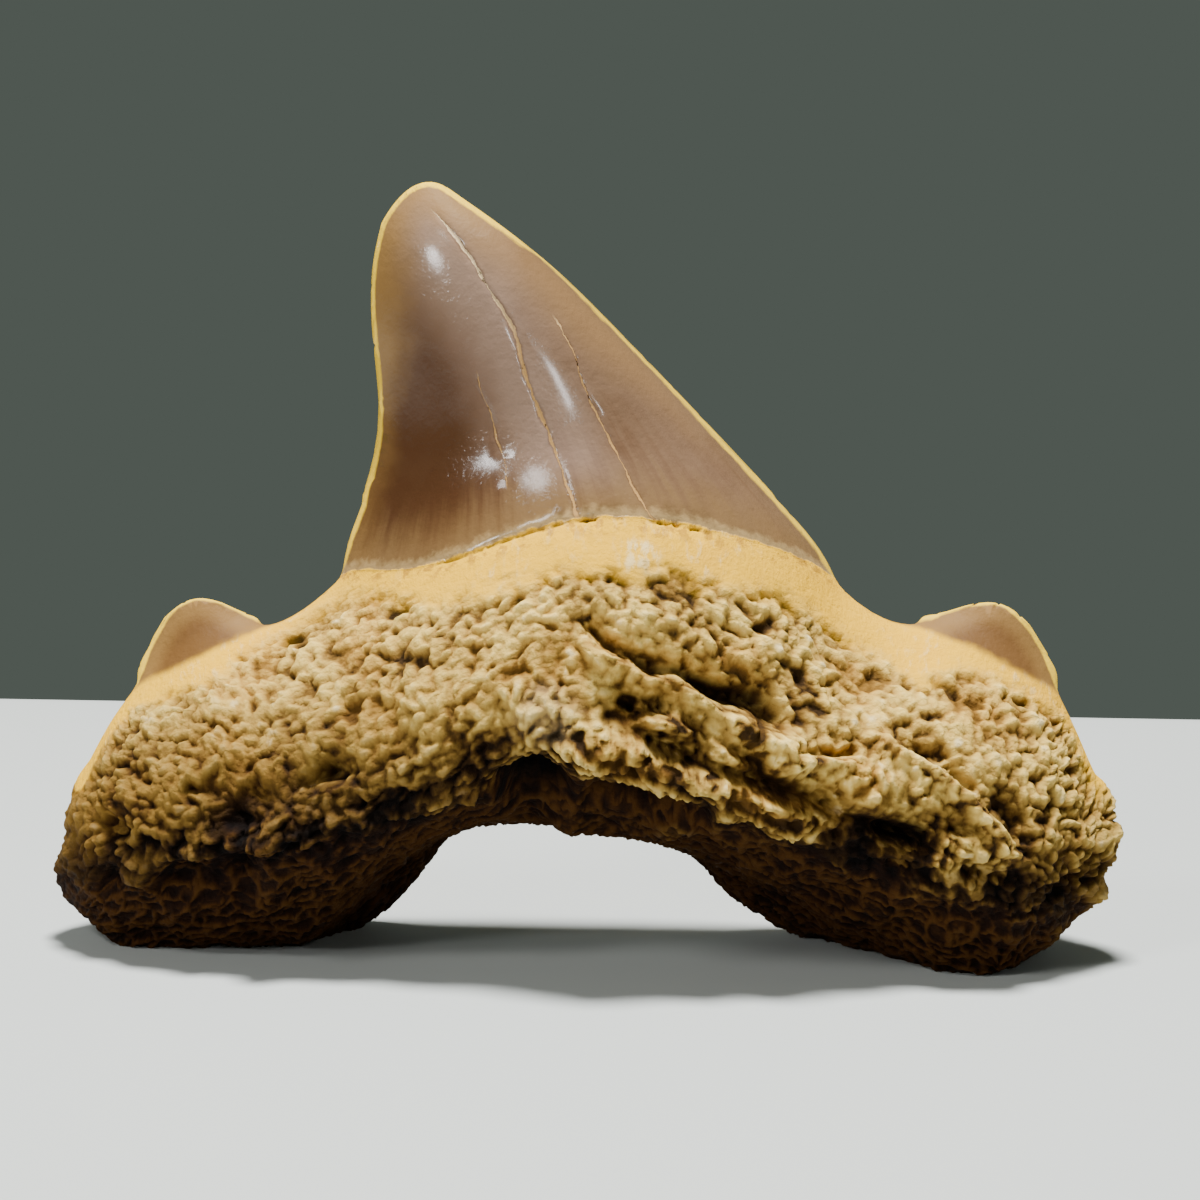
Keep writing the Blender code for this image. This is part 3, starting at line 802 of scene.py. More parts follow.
# %% Cracks, as (half width, points (x, z) from the bottom up)
CRACKS = [
    (0.055, [
        (-0.55, 16.7), (-0.9, 17.6), (-1.2, 18.4), (-1.6, 19.4), (-2.0, 20.3), (-2.4, 21.3), (-2.7, 22.2),
        (-2.9, 23.0), (-3.4, 23.9), (-3.9, 24.6), (-4.5, 25.6), (-5.3, 26.6), (-6.15, 27.5)
    ]),
    (0.03, [
        (2.2, 16.6), (1.8, 17.1), (1.2, 18.2), (0.7, 19.1), (0.15, 20.1), (-0.35, 21.1), (-0.75, 22.3),
        (-1.1, 23.0), (-1.65, 23.8)
    ]),
    (0.025, [(-3.1, 17.7), (-3.2, 18.4), (-3.5, 19.2), (-3.75, 20.1), (-4.1, 20.9), (-4.3, 21.7)]),
]
CRACK_BOX = ((-8.0, 4.0), (16.0, 28.0))
GAPS = [(-6.0, -0.9, 0.45), (-0.4, 0.8, 1.0), (2.2, 4.3, 1.0)]
GAP_WIDTH = 0.16
print("cracks:", len(CRACKS), "and gaps:", len(GAPS))


def cracks(nodes, x, y, z):
    """1 in the middle of a crack of the inner face and 0 beside it, and the same with a wider edge."""
    (left, right), (low, high) = CRACK_BOX
    place = nodes.vector(x, 0.0, z)
    jagged = (nodes.noise(place, 1.6, 4.0, 0.7) - 0.5) * 0.3
    swelling = 0.35 + 1.3 * nodes.ease(nodes.noise(place, 0.9, 2.0), 0.35, 0.65)
    inner_face = nodes.ease(-y, 0.2, 0.5)
    core, wide = 0.0, 0.0
    for half_width, line in CRACKS:
        points = [((up - low) / (high - low), (across - left) / (right - left)) for across, up in line]
        curve = nodes.add("ShaderNodeFloatCurve", {"curve": points}, {"Value": (z - low) / (high - low)})
        aside = abs(x - curve * (right - left) - left + jagged) / (half_width * swelling)
        start, end = line[0][1], line[-1][1]
        reach = nodes.ease(z, start - 0.3, start) * nodes.fade(z, end - 0.5, end) * inner_face
        core = nodes.math("MAXIMUM", core, nodes.fade(aside, 0.7, 1.2) * reach)
        wide = nodes.math("MAXIMUM", wide, nodes.fade(aside, 1.2, 2.6) * reach)
    return core, wide


def gap_below_enamel(nodes, x, y, below):
    """1 where the enamel has pulled away from the bone of the inner face, and 0 elsewhere."""
    ragged = below + (nodes.noise(nodes.vector(x, 0.0, y), 1.5, 3.0) - 0.5) * 0.3
    thin = nodes.ease(ragged, -0.05, 0.03) * nodes.fade(ragged, GAP_WIDTH * 0.6, GAP_WIDTH)
    open_share = 0.0
    for start, end, share in GAPS:
        inside = nodes.ease(x, start - 0.3, start + 0.3) * nodes.fade(x, end - 0.3, end + 0.3)
        open_share = inside * share + open_share
    broken = nodes.ease(nodes.noise(nodes.vector(x, y, 0.0), 1.1, 3.0, 0.7), 0.4, 0.55)
    return thin * open_share * broken * nodes.ease(-y, 2.0, 3.0)


# %% [markdown]
# ## Worn bone, with Geometry Nodes
#
# Between the ledges the bone is covered in knobs under half a millimetre across. Carving them by hand would
# take weeks, so a smooth Voronoi texture lifts a dome over each of many scattered points, and noise makes the
# domes uneven. Lumps of about a millimetre lie under them, with a pit here and there. On the underside the
# bone is a honeycomb of shallow cells with long thin layers across it.
#
# The texture reads the flow and the lift rather than the place. So the knobs follow the root round its
# bulge, a little longer along it than across, and stay round on the steep sides of the ledges.

# %% The relief of the worn bone
WEAR_SIZES = {
    "Easing": 60,
    "Knob Spacing": 0.36,
    "Knob Height": 0.24,
    "Lump Spacing": 1.1,
    "Lump Height": 0.3,
    "Comb Spacing": 0.5,
    "Comb Height": 0.14,
    "Layer Spacing": 0.6,
    "Layer Height": 0.08,
    "Pit Spacing": 1.6,
    "Pit Depth": 0.25,
    "Enamel Step": 0.07,
    "Edge Chips": 0.06,
    "Crack Depth": 0.04,
    "Gap Depth": 0.2,
    "Seed": 7.0,
}
KNOB_LENGTH = 1.2
LUMP_LENGTH = 1.4
KNOB_SMOOTHNESS = 0.3
print("knobs every", WEAR_SIZES["Knob Spacing"], "mm and lumps every", WEAR_SIZES["Lump Spacing"], "mm")


def worn_bone(nodes, along, around, lift, size):
    """The relief of the worn bone in millimetres."""
    flow = nodes.vector(along, around, size["Seed"])
    turned = nodes.vector(around, along, size["Seed"])
    bent_along = along + (nodes.noise(flow, 0.9, 2.0) - 0.5) * 1.3
    bent_around = around + (nodes.noise(turned, 0.9, 2.0) - 0.5) * 1.1

    def domes(stretch, spacing):
        """Rounded lumps side by side, from about 0 in the hollows between them to 1 on top."""
        place = nodes.vector(bent_along / stretch, bent_around, lift)
        return 1 - 2.6 * nodes.cells(place, spacing, "SMOOTH_F1", "3D", KNOB_SMOOTHNESS) ** 2

    low = nodes.ease(around, -2.5, 0.8)
    uneven = nodes.noise(nodes.vector(along, around, 3.0), 2.4, 3.0, 0.6) - 0.5
    knobs = domes(KNOB_LENGTH, size["Knob Spacing"]) - 0.42
    lumps = domes(LUMP_LENGTH, size["Lump Spacing"]) - 0.5
    grown = (knobs * 0.8 + uneven * (1.6 + low * 0.6)) * size["Knob Height"] * (0.85 + low * 0.3)
    grown = grown + lumps * size["Lump Height"] * (0.4 + low * 0.2)
    grown = grown * (1 + nodes.ease(lift, 0.2, 0.8) * 0.5)

    pit = nodes.cells(nodes.vector(bent_along / 1.5, bent_around, 0.0), size["Pit Spacing"])
    pits = nodes.fade(pit, 0.06, 0.22) * nodes.ease(nodes.noise(flow, 0.35, 1.0), 0.5, 0.62)

    comb_place = nodes.vector(bent_along / 1.7, bent_around + uneven * 0.6, 0.0)
    to_wall = nodes.cells(comb_place, size["Comb Spacing"], "DISTANCE_TO_EDGE")
    comb = 0.4 - nodes.ease(to_wall, 0.02, 0.24)
    strands = nodes.noise(nodes.vector(along / 8, bent_around, 11.0), 1 / size["Layer Spacing"], 3.0, 0.6)
    layers = 1 - abs(strands * 2 - 1) * 4
    beneath = comb * size["Comb Height"] + layers * size["Layer Height"] + uneven * size["Knob Height"] * 0.8

    under = nodes.ease(around, 0.2, 2.2)
    return nodes.mix(under, grown, beneath) - pits * size["Pit Depth"]


# %% [markdown]
# The knobs start at a ragged border, well below the enamel in the middle and closer to it at both ends. The
# enamel lies a little proud of the bone, since it covers it, and it has lost some of itself: chips along the
# cutting edges, the cracks, and the gap at its foot.

# %% Where the knobs are, and what the enamel adds and loses


def knobby_part(nodes, x, along, around, below, worn):
    """1 on knobbly bone and 0 on the smooth band below the enamel."""
    patchy = nodes.noise(nodes.vector(along, around, 3.0), 0.8, 3.0, 0.6) - 0.5
    band = nodes.ease(-x, 12.0, 14.0) + nodes.ease(x, -9.0, -2.0) * 1.4 - nodes.ease(x, 12.0, 15.0)
    band = band + nodes.ease(x, 7.0, 10.0) * nodes.fade(x, 12.0, 14.0) * 1.2
    return nodes.ease(below + patchy * 2.5 - band, 0.2, 1.4) * nodes.ease(worn, 0.0, 0.2)


def enamel_relief(nodes, place, flow, below, from_edge, size):
    """How far the enamel stands out from the bone, and how much of it is lost, in millimetres."""
    x, y, z = place
    along, around = flow
    on_enamel = nodes.ease(-below, -0.02, 0.06)
    on_crown = nodes.fade(abs(x), 10.0, 11.0)
    step = on_enamel * size["Enamel Step"] * nodes.ease(from_edge, 0.1, 0.8) * on_crown
    chips = nodes.ease(nodes.noise(nodes.vector(along, around, 2.0), 1.6, 3.0), 0.55, 0.75)
    chips = chips * nodes.fade(from_edge, 0.05, 0.25) * on_enamel
    core, _ = cracks(nodes, x, y, z)
    lost = chips * size["Edge Chips"] + core * on_enamel * size["Crack Depth"]
    return step, lost + gap_below_enamel(nodes, x, y, below) * size["Gap Depth"]


# %% [markdown]
# The tree adds up the relief and the lift and moves the skin along its normals. These are eased first, so
# that a narrow hollow does not fold. Nothing goes below the ground. The relief and the knobbly part are kept
# on the skin for the material, which would take long to work them out again at every sample.

# %% The tree


def wear_tree(sizes):
    tree = bpy.data.node_groups.new("worn bone and enamel", "GeometryNodeTree")
    tree.interface.new_socket("Geometry", in_out="INPUT", socket_type="NodeSocketGeometry")
    for name, value in sizes.items():
        kind = "NodeSocketInt" if isinstance(value, int) else "NodeSocketFloat"
        tree.interface.new_socket(name, in_out="INPUT", socket_type=kind).default_value = value
    tree.interface.new_socket("Material", in_out="INPUT", socket_type="NodeSocketMaterial")
    tree.interface.new_socket("Geometry", in_out="OUTPUT", socket_type="NodeSocketGeometry")
    nodes = Nodes(tree)
    group_input = tree.nodes.new("NodeGroupInput")
    size = {socket.name: Field(nodes, socket) for socket in group_input.outputs if socket.name}

    def carried(name, kind="FLOAT"):
        return nodes.add("GeometryNodeInputNamedAttribute", {"data_type": kind}, {"Name": name}, "Attribute")

    along, around, _ = nodes.split(carried("flow", "FLOAT_VECTOR"))
    below, lift = carried("below_enamel"), carried("lift")
    x, y, z = (c / MM for c in nodes.split(nodes.add("GeometryNodeInputPosition", {}, {})))
    knobby = knobby_part(nodes, x, along, around, below, carried("worn"))
    texture = worn_bone(nodes, along, around, lift, size) * knobby
    texture = texture * (1 - nodes.ease(-x, 17.5, 19.0) * 0.5) * (1 - nodes.ease(y, 0.5, 1.5) * 0.5)
    step, lost = enamel_relief(nodes, (x, y, z), (along, around), below, carried("from_edge"), size)
    height = (texture + step - lost + lift) * MM

    eased = {"Value": nodes.add("GeometryNodeInputNormal", {}, {}), "Iterations": size["Easing"]}
    outward = nodes.add("GeometryNodeBlurAttribute", {"data_type": "FLOAT_VECTOR"}, eased, "Value")
    outward = nodes.add("ShaderNodeVectorMath", {"operation": "NORMALIZE"}, {0: outward})
    offset = nodes.add("ShaderNodeVectorMath", {"operation": "SCALE"}, {0: outward, "Scale": height})

    shape = size["Geometry"]
    for name, value in (("relief", texture), ("knobby", knobby)):
        stored = {"Geometry": shape, "Name": name, "Value": value}
        shape = nodes.add("GeometryNodeStoreNamedAttribute", {"data_type": "FLOAT"}, stored)
    shape = nodes.add("GeometryNodeSetPosition", {}, {"Geometry": shape, "Offset": offset})
    new_x, new_y, new_z = nodes.split(nodes.add("GeometryNodeInputPosition", {}, {}))
    on_ground = nodes.vector(new_x, new_y, nodes.math("MAXIMUM", new_z, 0.0))
    shape = nodes.add("GeometryNodeSetPosition", {}, {"Geometry": shape, "Position": on_ground})
    shape = nodes.add("GeometryNodeRealizeInstances", {}, {"Geometry": shape})
    shape = nodes.add("GeometryNodeSetMaterial", {}, {"Geometry": shape, "Material": size["Material"]})
    tree.links.new(shape.socket, tree.nodes.new("NodeGroupOutput").inputs["Geometry"])
    return tree


wear = wear_tree(WEAR_SIZES)
print("wear tree:", len(wear.nodes), "nodes")

# %% [markdown]
# ## One material for bone and enamel
#
# Bone and enamel grew into each other, so the tooth has one material, and the distances that the skin carries
# say where each colour goes. The bone is ochre, with its hollows darker and browner, partly as painted shade,
# and with pale flecks on top of its knobs. Shade is painted over its lower part, and nearly black over its
# underside. The enamel is a glossy mauve brown in the middle, with painted shade at its lower left and a
# painted sheen down its middle. It is golden towards the tip and the edges, and along the cutting edge
# itself, where it is thin, a bright yellow glow of light shining through is painted.

# %% Colours


def srgb(*colour):
    """A colour as a screen shows it, 0 to 255, in the linear values that a shader works with."""
    return tuple((c / 255 / 12.92) if c <= 10 else ((c / 255 + 0.055) / 1.055) ** 2.4 for c in colour)


# The dark end of this ramp is partly painted shade, laid in the hollows of the bone.
BONE_AND_HOLLOW_SHADE_RAMP = [
    (0.0, srgb(52, 35, 14)),
    (0.25, srgb(116, 85, 36)),
    (0.5, srgb(182, 147, 72)),
    (0.8, srgb(215, 181, 95)),
    (1.0, srgb(230, 201, 122)),
]
BONE_BAND = srgb(229, 175, 28)
BONE_FLECK = srgb(236, 214, 160)
BONE_GREY = srgb(158, 138, 104)
BONE_WARM = srgb(204, 146, 56)
BONE_SPECK = srgb(150, 104, 40)
BONE_BACK = srgb(202, 164, 96)
BONE_BACK_DARK = srgb(138, 98, 46)
# Nearly black: painted shade in the deep clefts and in the gap below the enamel, and the dark pits in the
# cracks.
BONE_DEEP = srgb(26, 13, 4)
# Painted shade, multiplied over the bone: a brown one over the lower front, and a nearly black one over the
# underside, lighter on its honeycomb walls.
PAINTED_SHADE_LOW = (0.31, 0.255, 0.195)
PAINTED_SHADE_WALLS = (0.19, 0.125, 0.07)
PAINTED_SHADE_HOLLOWS = (0.05, 0.027, 0.012)
ENAMEL_MIDDLE = srgb(114, 89, 68)
# Painted sheen down the middle of the crown.
PAINTED_SHEEN = srgb(168, 142, 126)
ENAMEL_STREAK = srgb(74, 47, 27)
ENAMEL_GOLD = srgb(132, 99, 52)
ENAMEL_FOOT = srgb(114, 88, 54)
ENAMEL_MARGIN = srgb(190, 160, 108)
ENAMEL_CUSPLET = srgb(98, 66, 30)
# Painted glow of light shining through the thin cutting edge.
PAINTED_RIM_GLOW = srgb(232, 190, 50)
CRACK_FILL = srgb(168, 130, 80)
CRACK_PALE = srgb(206, 180, 140)
print("bone ramp of", len(BONE_AND_HOLLOW_SHADE_RAMP), "colours")

# %% [markdown]
# The colours are read at the tooth's own place, so the material moves with the skin when this is fitted to
# the solid. Several colours need the same distances and the same grain, and those are worked out once.

# %% What the colours are worked out from
shift = solid_tip - form_tip
shift.z = 0
print("moved by", in_mm(shift), "mm")


class Spot:
    """The place on the tooth that is being coloured, as the nodes of one material."""

    def __init__(self, nodes):
        def carried(name, output="Fac"):
            return nodes.add("ShaderNodeAttribute", {"attribute_name": name}, {}, output)

        here = nodes.add("ShaderNodeTexCoord", {}, {}, "Object")
        here = nodes.add("ShaderNodeVectorMath", {"operation": "SUBTRACT"}, {0: here, 1: shift})
        self.here = nodes.add("ShaderNodeVectorMath", {"operation": "SCALE"}, {0: here, "Scale": 1 / MM})
        self.x, self.y, self.z = nodes.split(self.here)
        self.along, self.around, _ = nodes.split(carried("flow", "Vector"))
        self.below = carried("below_enamel")
        self.from_edge = carried("from_edge")
        self.relief = carried("relief")
        self.knobby = carried("knobby")
        self.lift = carried("lift")
        self.core, self.wide = cracks(nodes, self.x, self.y, self.z)
        self.on_cusplet = nodes.ease(abs(self.x), 10.0, 11.5)
        self.on_back = nodes.ease(self.y, 0.3, 1.5)
        self.blotches = nodes.noise(self.here, 0.35, 3.0)
        self.mottle = nodes.noise(self.here, 2.2, 4.0, 0.6)
        lengthened = nodes.vector(self.along / 1.2, self.around, 0.0)
        grains = 1 - 2.2 * nodes.cells(lengthened, 0.24, "SMOOTH_F1") ** 2
        self.grains = grains + (nodes.noise(self.here, 4.5, 3.0, 0.6) - 0.5) * 2
        drawn_out = nodes.vector(self.along * 4, self.around * 1.3, 1.0)
        self.fibres = nodes.noise(drawn_out, 1.0, 3.0, 0.6)


# %% [markdown]
# ** Bone.** A colour ramp goes from brown in the hollows, where the brown is partly painted shade, to pale ochre
# on the knobs. The smooth band below the enamel has a yellower colour of its own, and the outer side, where
# nothing is worn, a duller and more even one. The deep clefts are painted nearly black, as their shade.

# %% The colour of the bone, with painted shade in its hollows and clefts
SCUFFED_SPOT = ((1.8, -6.0, 15.6), 0.9)
GREY_SPOT = ((-1.5, -8.0, 9.9), 1.3)


def near(nodes, at, place, radius):
    """1 close to a place, and 0 outside a ragged circle round it."""
    away = nodes.add("ShaderNodeVectorMath", {"operation": "DISTANCE"}, {0: at.here, 1: place}, "Value")
    ragged = away + (nodes.noise(at.here, 1.2, 3.0) - 0.5) * radius
    return nodes.fade(ragged, radius * 0.5, radius * 1.2)


def bone_colour(nodes, at):
    # Painted shade: the ramp darkens the hollows of the relief.
    height = at.relief * 2.3 + nodes.math("MINIMUM", at.lift, 0.3) * 0.15
    height = height + (at.mottle - 0.5) * 0.5 + at.grains * 0.1 + 0.57
    bone = nodes.add("ShaderNodeValToRGB", {"stops": BONE_AND_HOLLOW_SHADE_RAMP}, {"Fac": height}, "Color")
    pale = nodes.ease(at.fibres, 0.5, 0.7) * nodes.ease(at.blotches, 0.45, 0.6)
    band = nodes.blend(pale * 0.4, BONE_BAND, BONE_FLECK)
    specks = nodes.ease(at.mottle, 0.5, 0.6) * nodes.fade(at.below, 0.2, 1.1) * (1 - at.on_cusplet)
    band = nodes.blend(specks * 0.6, band, BONE_SPECK)
    bone = nodes.blend(1 - at.knobby, bone, band)
    bone = nodes.blend(nodes.ease(at.blotches, 0.45, 0.7) * 0.2, bone, BONE_WARM)
    outer = nodes.blend(nodes.ease(at.mottle, 0.35, 0.65), BONE_BACK_DARK, BONE_BACK)
    bone = nodes.blend(at.on_back * 0.6, bone, outer)
    fleck = nodes.fade(nodes.cells(at.here, 0.9, "F1", "3D"), 0.1, 0.3)
    bone = nodes.blend(fleck * nodes.ease(at.relief, 0.0, 0.1) * 0.7, bone, BONE_FLECK)
    scuffed = near(nodes, at, *SCUFFED_SPOT) * nodes.ease(at.fibres, 0.4, 0.6)
    bone = nodes.blend(scuffed * 0.6, bone, BONE_FLECK)
    bone = nodes.blend(near(nodes, at, *GREY_SPOT) * 0.35, bone, BONE_GREY)
    # Painted shade: the deep clefts are made nearly black.
    return nodes.blend(nodes.ease(-at.lift, 0.3, 1.2) * 0.85, bone, BONE_DEEP)


# %% [markdown]
# ** Painted shade.** Shade is painted over the lower part of the root and, nearly black, over its underside, the
# left lobe most. The lit tops of raised ledges and knobs get less of it, so they count as if they were higher
# up.
# Both shades are multiplied over the bone, so that its grain shows through them.

# %% Painted shade over the lower part and the underside


def with_painted_shade(nodes, at, bone):
    on_left = nodes.fade(at.x, -12.0, -3.0)
    # The lit tops of ledges and knobs get less of the painted shade.
    raised = nodes.ease(at.relief, -0.05, 0.1) * 0.8 + nodes.ease(at.lift, 0.1, 0.7) * 2.2
    lower = at.around + (at.mottle - 0.5) * 1.5 - raised * (1 - on_left * 0.6) - at.on_back * 3
    worn = nodes.ease(at.knobby, 0.1, 0.5)
    # Painted shade, darker towards the bottom of the front and most on the left lobe.
    lower_shade = nodes.ease(lower + on_left * 2.0, -6.0, 0.4) * worn
    bone = nodes.blend(lower_shade, bone, PAINTED_SHADE_LOW, "MULTIPLY")
    # Painted shade: the underside nearly black, less at the far left end.
    dark = nodes.ease(lower + on_left * 1.4 - nodes.ease(-at.x, 12.5, 16.0) * 1.8, -2.2, 1.2)
    dark = dark * nodes.math("MAXIMUM", worn, nodes.ease(at.around, 0.5, 1.5))
    on_walls = nodes.ease(at.relief + (at.grains - 0.4) * 0.03, -0.06, 0.1)
    bone = nodes.blend(dark, bone, nodes.blend(on_walls, PAINTED_SHADE_HOLLOWS, PAINTED_SHADE_WALLS), "MULTIPLY")
    # Painted shade in the gap below the enamel.
    return nodes.blend(gap_below_enamel(nodes, at.x, at.y, at.below) * 0.9, bone, BONE_DEEP)


# %% [markdown]
# ** Enamel.** Streaks run down the crown, and its lower left part is painted darker as shade, with dark blotches
# of its own. A painted sheen lightens its middle. It turns golden towards its edges, and a bright glow of
# light shining through is painted along the cutting edge. The cusplets are a darker brown. Dirt has filled
# the cracks, which are palest near the tip.

# %% The colour of the enamel


def crown_colour(nodes, at):
    """The face of the crown: its middle, the painted shade on its lower left, the streaks, the foot and a
    painted sheen.
    """
    drawn_out = nodes.vector(at.along * 2.2, at.around * 0.16, 4.0)
    streaks = nodes.noise(drawn_out, 1.0, 4.0, 0.6)
    low = nodes.fade(-at.below, 1.0, 6.0)
    # Painted shade on the lower left of the crown, with dark blotches of its own over the rest.
    shade_and_blotches = nodes.fade(at.x + (at.blotches - 0.5) * 4, -6.0, -1.0)
    shade_and_blotches = shade_and_blotches * nodes.fade(at.z, 21.0, 26.0) * 0.95
    shade_and_blotches = nodes.clamp(shade_and_blotches + nodes.ease(at.blotches, 0.4, 0.7) * 0.3)
    enamel = nodes.blend(shade_and_blotches, ENAMEL_MIDDLE, ENAMEL_STREAK)
    streaky = nodes.ease(streaks, 0.4, 0.7) * low * (0.7 - nodes.ease(at.x, -2.0, 3.0) * 0.4)
    enamel = nodes.blend(streaky, enamel, ENAMEL_STREAK)
    foot = nodes.fade(-at.below + (streaks - 0.5) * 3, 0.2, 2.6)
    enamel = nodes.blend(foot * 0.75, enamel, ENAMEL_FOOT)
    # Painted sheen along the middle of the crown.
    beside_ridge = abs(at.x + 0.5 + (at.z - 16.7) * 0.5 + (at.blotches - 0.5) * 3)
    sheen = nodes.fade(beside_ridge, 0.3, 3.0) * nodes.ease(at.z, 17.0, 19.0)
    return nodes.blend(sheen * 0.4, enamel, PAINTED_SHEEN)


def with_edges(nodes, at, enamel):
    """The golden edges, the pale margin at the foot, the cusplets, and the painted glow of light through the
    rim.
    """
    reach = 1.2 + nodes.ease(at.z, 19.0, 24.0)
    golden = nodes.fade(at.from_edge + (at.blotches - 0.5) * 1.5, 0.2, reach)
    golden = golden * (1 - nodes.ease(at.x, -5.0, -3.0) * 0.5)
    golden = golden * (0.35 + 0.5 * nodes.ease(at.z, 18.0, 23.0))
    enamel = nodes.blend(golden, enamel, ENAMEL_GOLD)
    margin = nodes.fade(-at.below + (at.mottle - 0.5) * 0.8, 0.05, 0.5) * (1 - at.on_cusplet)
    enamel = nodes.blend(margin * 0.5, enamel, ENAMEL_MARGIN)
    cusplet = nodes.blend(nodes.ease(at.from_edge, 0.3, 1.0), ENAMEL_GOLD, ENAMEL_CUSPLET)
    enamel = nodes.blend(at.on_cusplet * 0.8, enamel, cusplet)
    # Painted glow of light shining through the thin cutting edge: a bright yellow line along it.
    inner_side = at.on_cusplet * nodes.fade(abs(at.x), 15.3, 16.2)
    line = at.from_edge + (at.mottle - 0.5) * 0.08 + inner_side * 0.1
    return nodes.blend(nodes.fade(line, 0.12, 0.22), enamel, PAINTED_RIM_GLOW)


def with_cracks(nodes, at, enamel):
    filled = nodes.blend(nodes.ease(at.z, 22.0, 25.5), CRACK_FILL, CRACK_PALE)
    enamel = nodes.blend(at.wide * 0.4, enamel, ENAMEL_STREAK)
    enamel = nodes.blend(at.core, enamel, filled)
    return nodes.blend(at.core * nodes.fade(at.mottle, 0.36, 0.42), enamel, BONE_DEEP)


# %% [markdown]
# The material puts enamel over bone with a ragged border, which is softer on the cusplets. Bone is rough.
# Enamel has a clear coat that reflects the lamps, but not at its rubbed tip or on the cusplets. A bump gives
# what is finer than the faces of the skin: pores and fibres in the bone, and faint waves in the enamel.

# %% The material
COAT = 0.5
COAT_ROUGHNESS = 0.14
SPECULAR_LEVEL = 0.1


def tooth_material():
    made = bpy.data.materials.new("bone and enamel")
    made.use_nodes = True
    tree = made.node_tree
    nodes = Nodes(tree)
    shader = tree.nodes["Principled BSDF"]
    shader.inputs["Coat Roughness"].default_value = COAT_ROUGHNESS
    shader.inputs["Specular IOR Level"].default_value = SPECULAR_LEVEL
    at = Spot(nodes)
    bone = with_painted_shade(nodes, at, bone_colour(nodes, at))
    enamel = with_cracks(nodes, at, with_edges(nodes, at, crown_colour(nodes, at)))

    fading = at.on_cusplet * 0.6 * nodes.fade(abs(at.x), 17.8, 18.3)
    is_enamel = nodes.ease(-at.below + (at.mottle - 0.5) * 0.2 + fading, 0.0, 0.06 + fading)
    polish = nodes.noise(at.here, 3.0, 3.0)
    matt = nodes.math("MAXIMUM", at.on_cusplet, nodes.ease(at.z, 25.9, 26.9))
    pores = nodes.noise(at.here, 7.0, 4.0, 0.65)
    bone_fine = pores * 0.05 + at.fibres * 0.06 * (1 - at.knobby)
    bone_fine = bone_fine + at.grains * 0.035 * (0.2 + 0.8 * at.knobby)
    enamel_fine = nodes.noise(at.here, 1.3, 3.0) * 0.04 + nodes.noise(at.here, 5.0, 2.0) * 0.02
    fine = nodes.mix(is_enamel, bone_fine, enamel_fine)
    bumps = {"Strength": 1.0, "Distance": MM, "Height": fine}
    finished = {
        "Base Color": nodes.blend(is_enamel, bone, enamel),
        "Roughness": nodes.mix(is_enamel, 0.8 + at.mottle * 0.2, 0.1 + polish * 0.1 + matt * 0.45),
        "Coat Weight": is_enamel * (1 - at.core) * (1 - matt) * COAT,
        "Normal": nodes.add("ShaderNodeBump", {}, bumps),
    }
    for name, value in finished.items():
        tree.links.new(value.socket, shader.inputs[name])
    return made


finish = tooth_material()
print("material:", len(finish.node_tree.nodes), "nodes")

# %% [markdown]
# ## Put the skin together
#
# The modifier reads the skin and the sizes. A Decimate modifier after it thins the skin where this is smooth,
# so that the triangles go to the knobs and the ledges. The result is then turned into a plain mesh.

# %% The finished piece
MOST_TRIANGLES = 196000

skin_object = add_object("tooth_skin", skin)
worn_surface = skin_object.modifiers.new("wear", "NODES")
worn_surface.node_group = wear
for item in wear.interface.items_tree:
    if item.in_out == "INPUT" and item.name in WEAR_SIZES:
        worn_surface[item.identifier] = WEAR_SIZES[item.name]
    if item.in_out == "INPUT" and item.name == "Material":
        worn_surface[item.identifier] = finish
triangles = 2 * len(skin.polygons)
if triangles > MOST_TRIANGLES:
    thinning = skin_object.modifiers.new("fewer faces", "DECIMATE")
    thinning.ratio = MOST_TRIANGLES / triangles
surface = bpy.data.meshes.new_from_object(evaluated(skin_object))
bpy.data.objects.remove(skin_object)
surface.transform(Matrix.Translation(shift))
surface.shade_smooth()

tooth = add_object("shark_tooth", surface)
surface.calc_loop_triangles()
print("tooth:", len(surface.loop_triangles), "triangles")

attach(tooth, "root")
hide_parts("tooth")

# %% [markdown]
# ## Floor, light and camera
#
# The tooth is shown on a plain pale slab whose far edge rolls down behind it, in front of a plain dark
# backdrop colour. One soft lamp straight above does nearly all the lighting, so that the ledges throw the
# short shadows that show their depth. Three weak lamps at the left and in front only make the highlights on
# the enamel.

# %% Floor
FLOOR_FRONT = -0.4
FLOOR_BACK = 0.065
FLOOR_HALF_WIDTH = 0.4
FLOOR_ROLL = 0.012
FLOOR_DROP = 0.2
FLOOR_ROUGHNESS = 0.55
ROLL_STEPS = 12

outline = [(FLOOR_FRONT, 0.0), (FLOOR_BACK - FLOOR_ROLL, 0.0)]
for k in range(1, ROLL_STEPS + 1):
    turn = math.radians(90 * k / ROLL_STEPS)
    outline.append((FLOOR_BACK - FLOOR_ROLL * (1 - math.sin(turn)), FLOOR_ROLL * (math.cos(turn) - 1)))
outline.append((FLOOR_BACK, -FLOOR_DROP))
corners = [(side * FLOOR_HALF_WIDTH, y, z) for side in (-1, 1) for y, z in outline]
count = len(outline)
strips = [(k, k + count, k + count + 1, k + 1) for k in range(count - 1)]
floor_mesh = bpy.data.meshes.new("floor")
floor_mesh.from_pydata(corners, [], strips)
floor_mesh.shade_smooth()
floor = add_object("floor", floor_mesh)
pale = bpy.data.materials.new("pale floor")
pale.use_nodes = True
pale_inputs = pale.node_tree.nodes["Principled BSDF"].inputs
pale_inputs["Base Color"].default_value = (*srgb(190, 194, 190), 1.0)
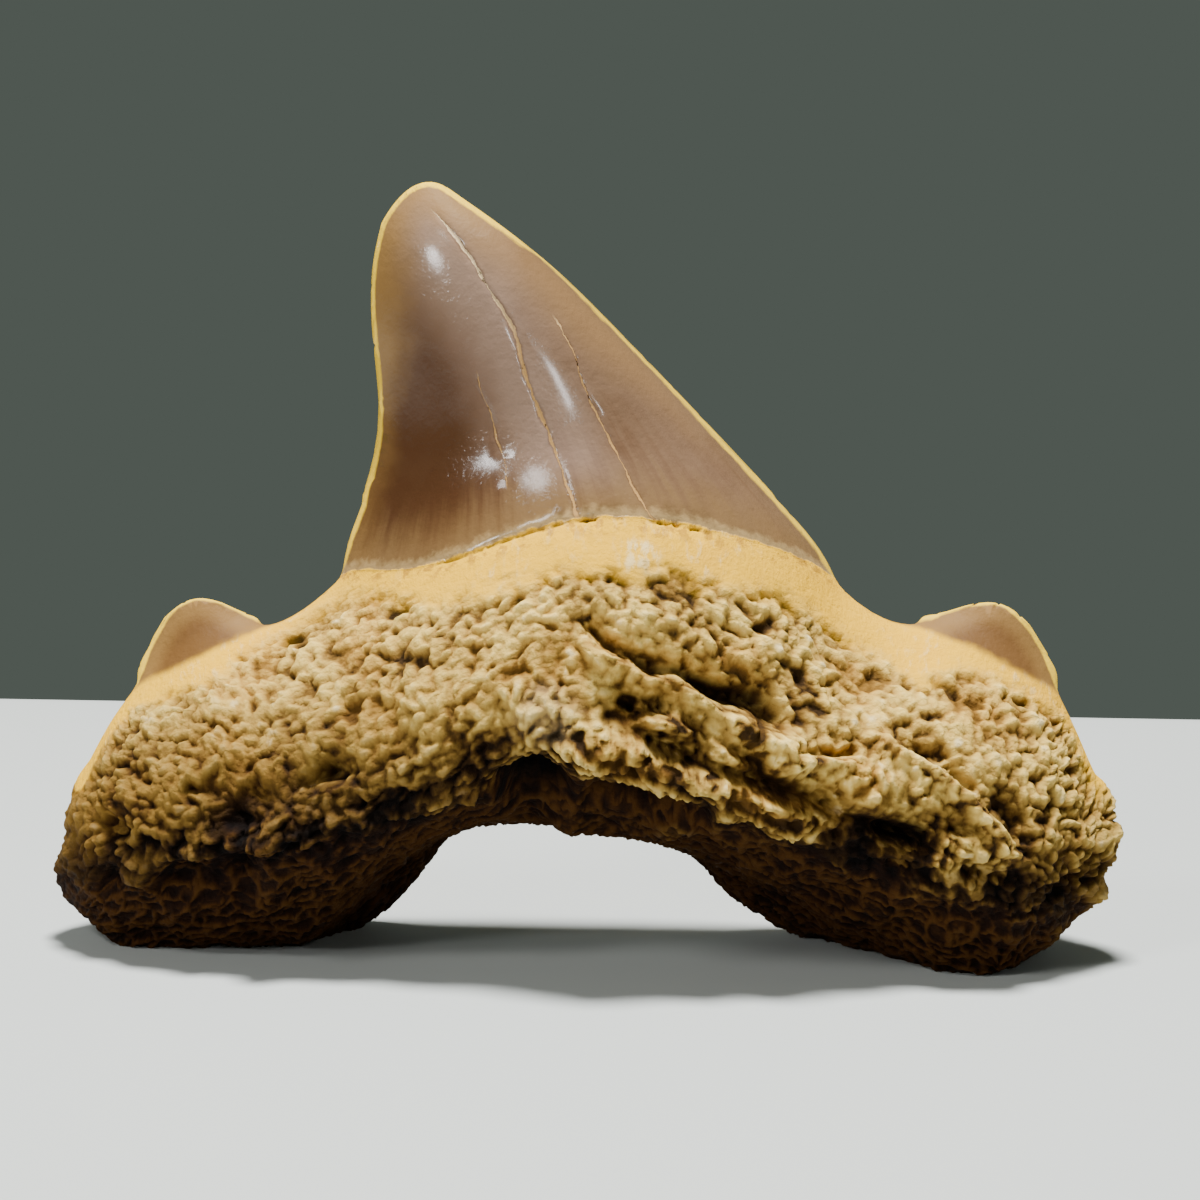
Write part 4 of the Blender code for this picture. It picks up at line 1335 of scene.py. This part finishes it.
pale_inputs["Roughness"].default_value = FLOOR_ROUGHNESS
floor_mesh.materials.append(pale)
print("floor rolls down", FLOOR_BACK / MM, "mm behind the tooth")

# %% Light
backdrop = bpy.data.worlds.new("backdrop")
backdrop.use_nodes = True
backdrop_inputs = backdrop.node_tree.nodes["Background"].inputs
backdrop_inputs["Color"].default_value = (*srgb(82, 90, 84), 1.0)
backdrop_inputs["Strength"].default_value = 1.0
bpy.context.scene.world = backdrop


def add_lamp(name, size, power, place, aim):
    lamp = bpy.data.lights.new(name, "AREA")
    lamp.shape = "DISK"
    lamp.size = size
    lamp.energy = power
    made = add_object(name, lamp)
    made.location = place
    made.rotation_euler = (Vector(place) - Vector(aim)).to_track_quat("Z", "Y").to_euler()
    print("lamp", name, "of", power, "W at", in_mm(place), "mm")


MIDDLE = (0.0, 0.0, 0.012)
add_lamp("overhead", 0.07, 2.4, (0.0, 0.005, 0.28), MIDDLE)
add_lamp("left", 0.045, 0.22, (-0.19, -0.17, 0.095), MIDDLE)
add_lamp("front", 0.02, 0.06, (0.026, -0.25, 0.095), MIDDLE)
add_lamp("upper left", 0.05, 0.15, (-0.11, -0.13, 0.16), MIDDLE)

# %% [markdown]
# The camera looks down by 8 degrees with a long lens from close by, and it is rolled by one degree, which is
# how far the edge of the floor slopes in the view.

# %% Camera
CAMERA_LENS = 100
CAMERA_DISTANCE = 0.125
CAMERA_TILT = math.radians(8)
CAMERA_ROLL = math.radians(1)
aim = Vector((0.35, 0.0, 12.95)) * MM + shift
away = Vector((0, -math.cos(CAMERA_TILT), math.sin(CAMERA_TILT)))
lens = bpy.data.cameras.new("camera")
lens.lens = CAMERA_LENS
lens.sensor_width = 36
lens.clip_start = 0.001
camera = add_object("camera", lens)
turned = away.to_track_quat("Z", "Y").to_matrix() @ Matrix.Rotation(CAMERA_ROLL, 3, "Z")
camera.matrix_world = Matrix.Translation(aim + away * CAMERA_DISTANCE) @ turned.to_4x4()
bpy.context.scene.camera = camera
print("camera at", in_mm(camera.matrix_world.translation), "mm")
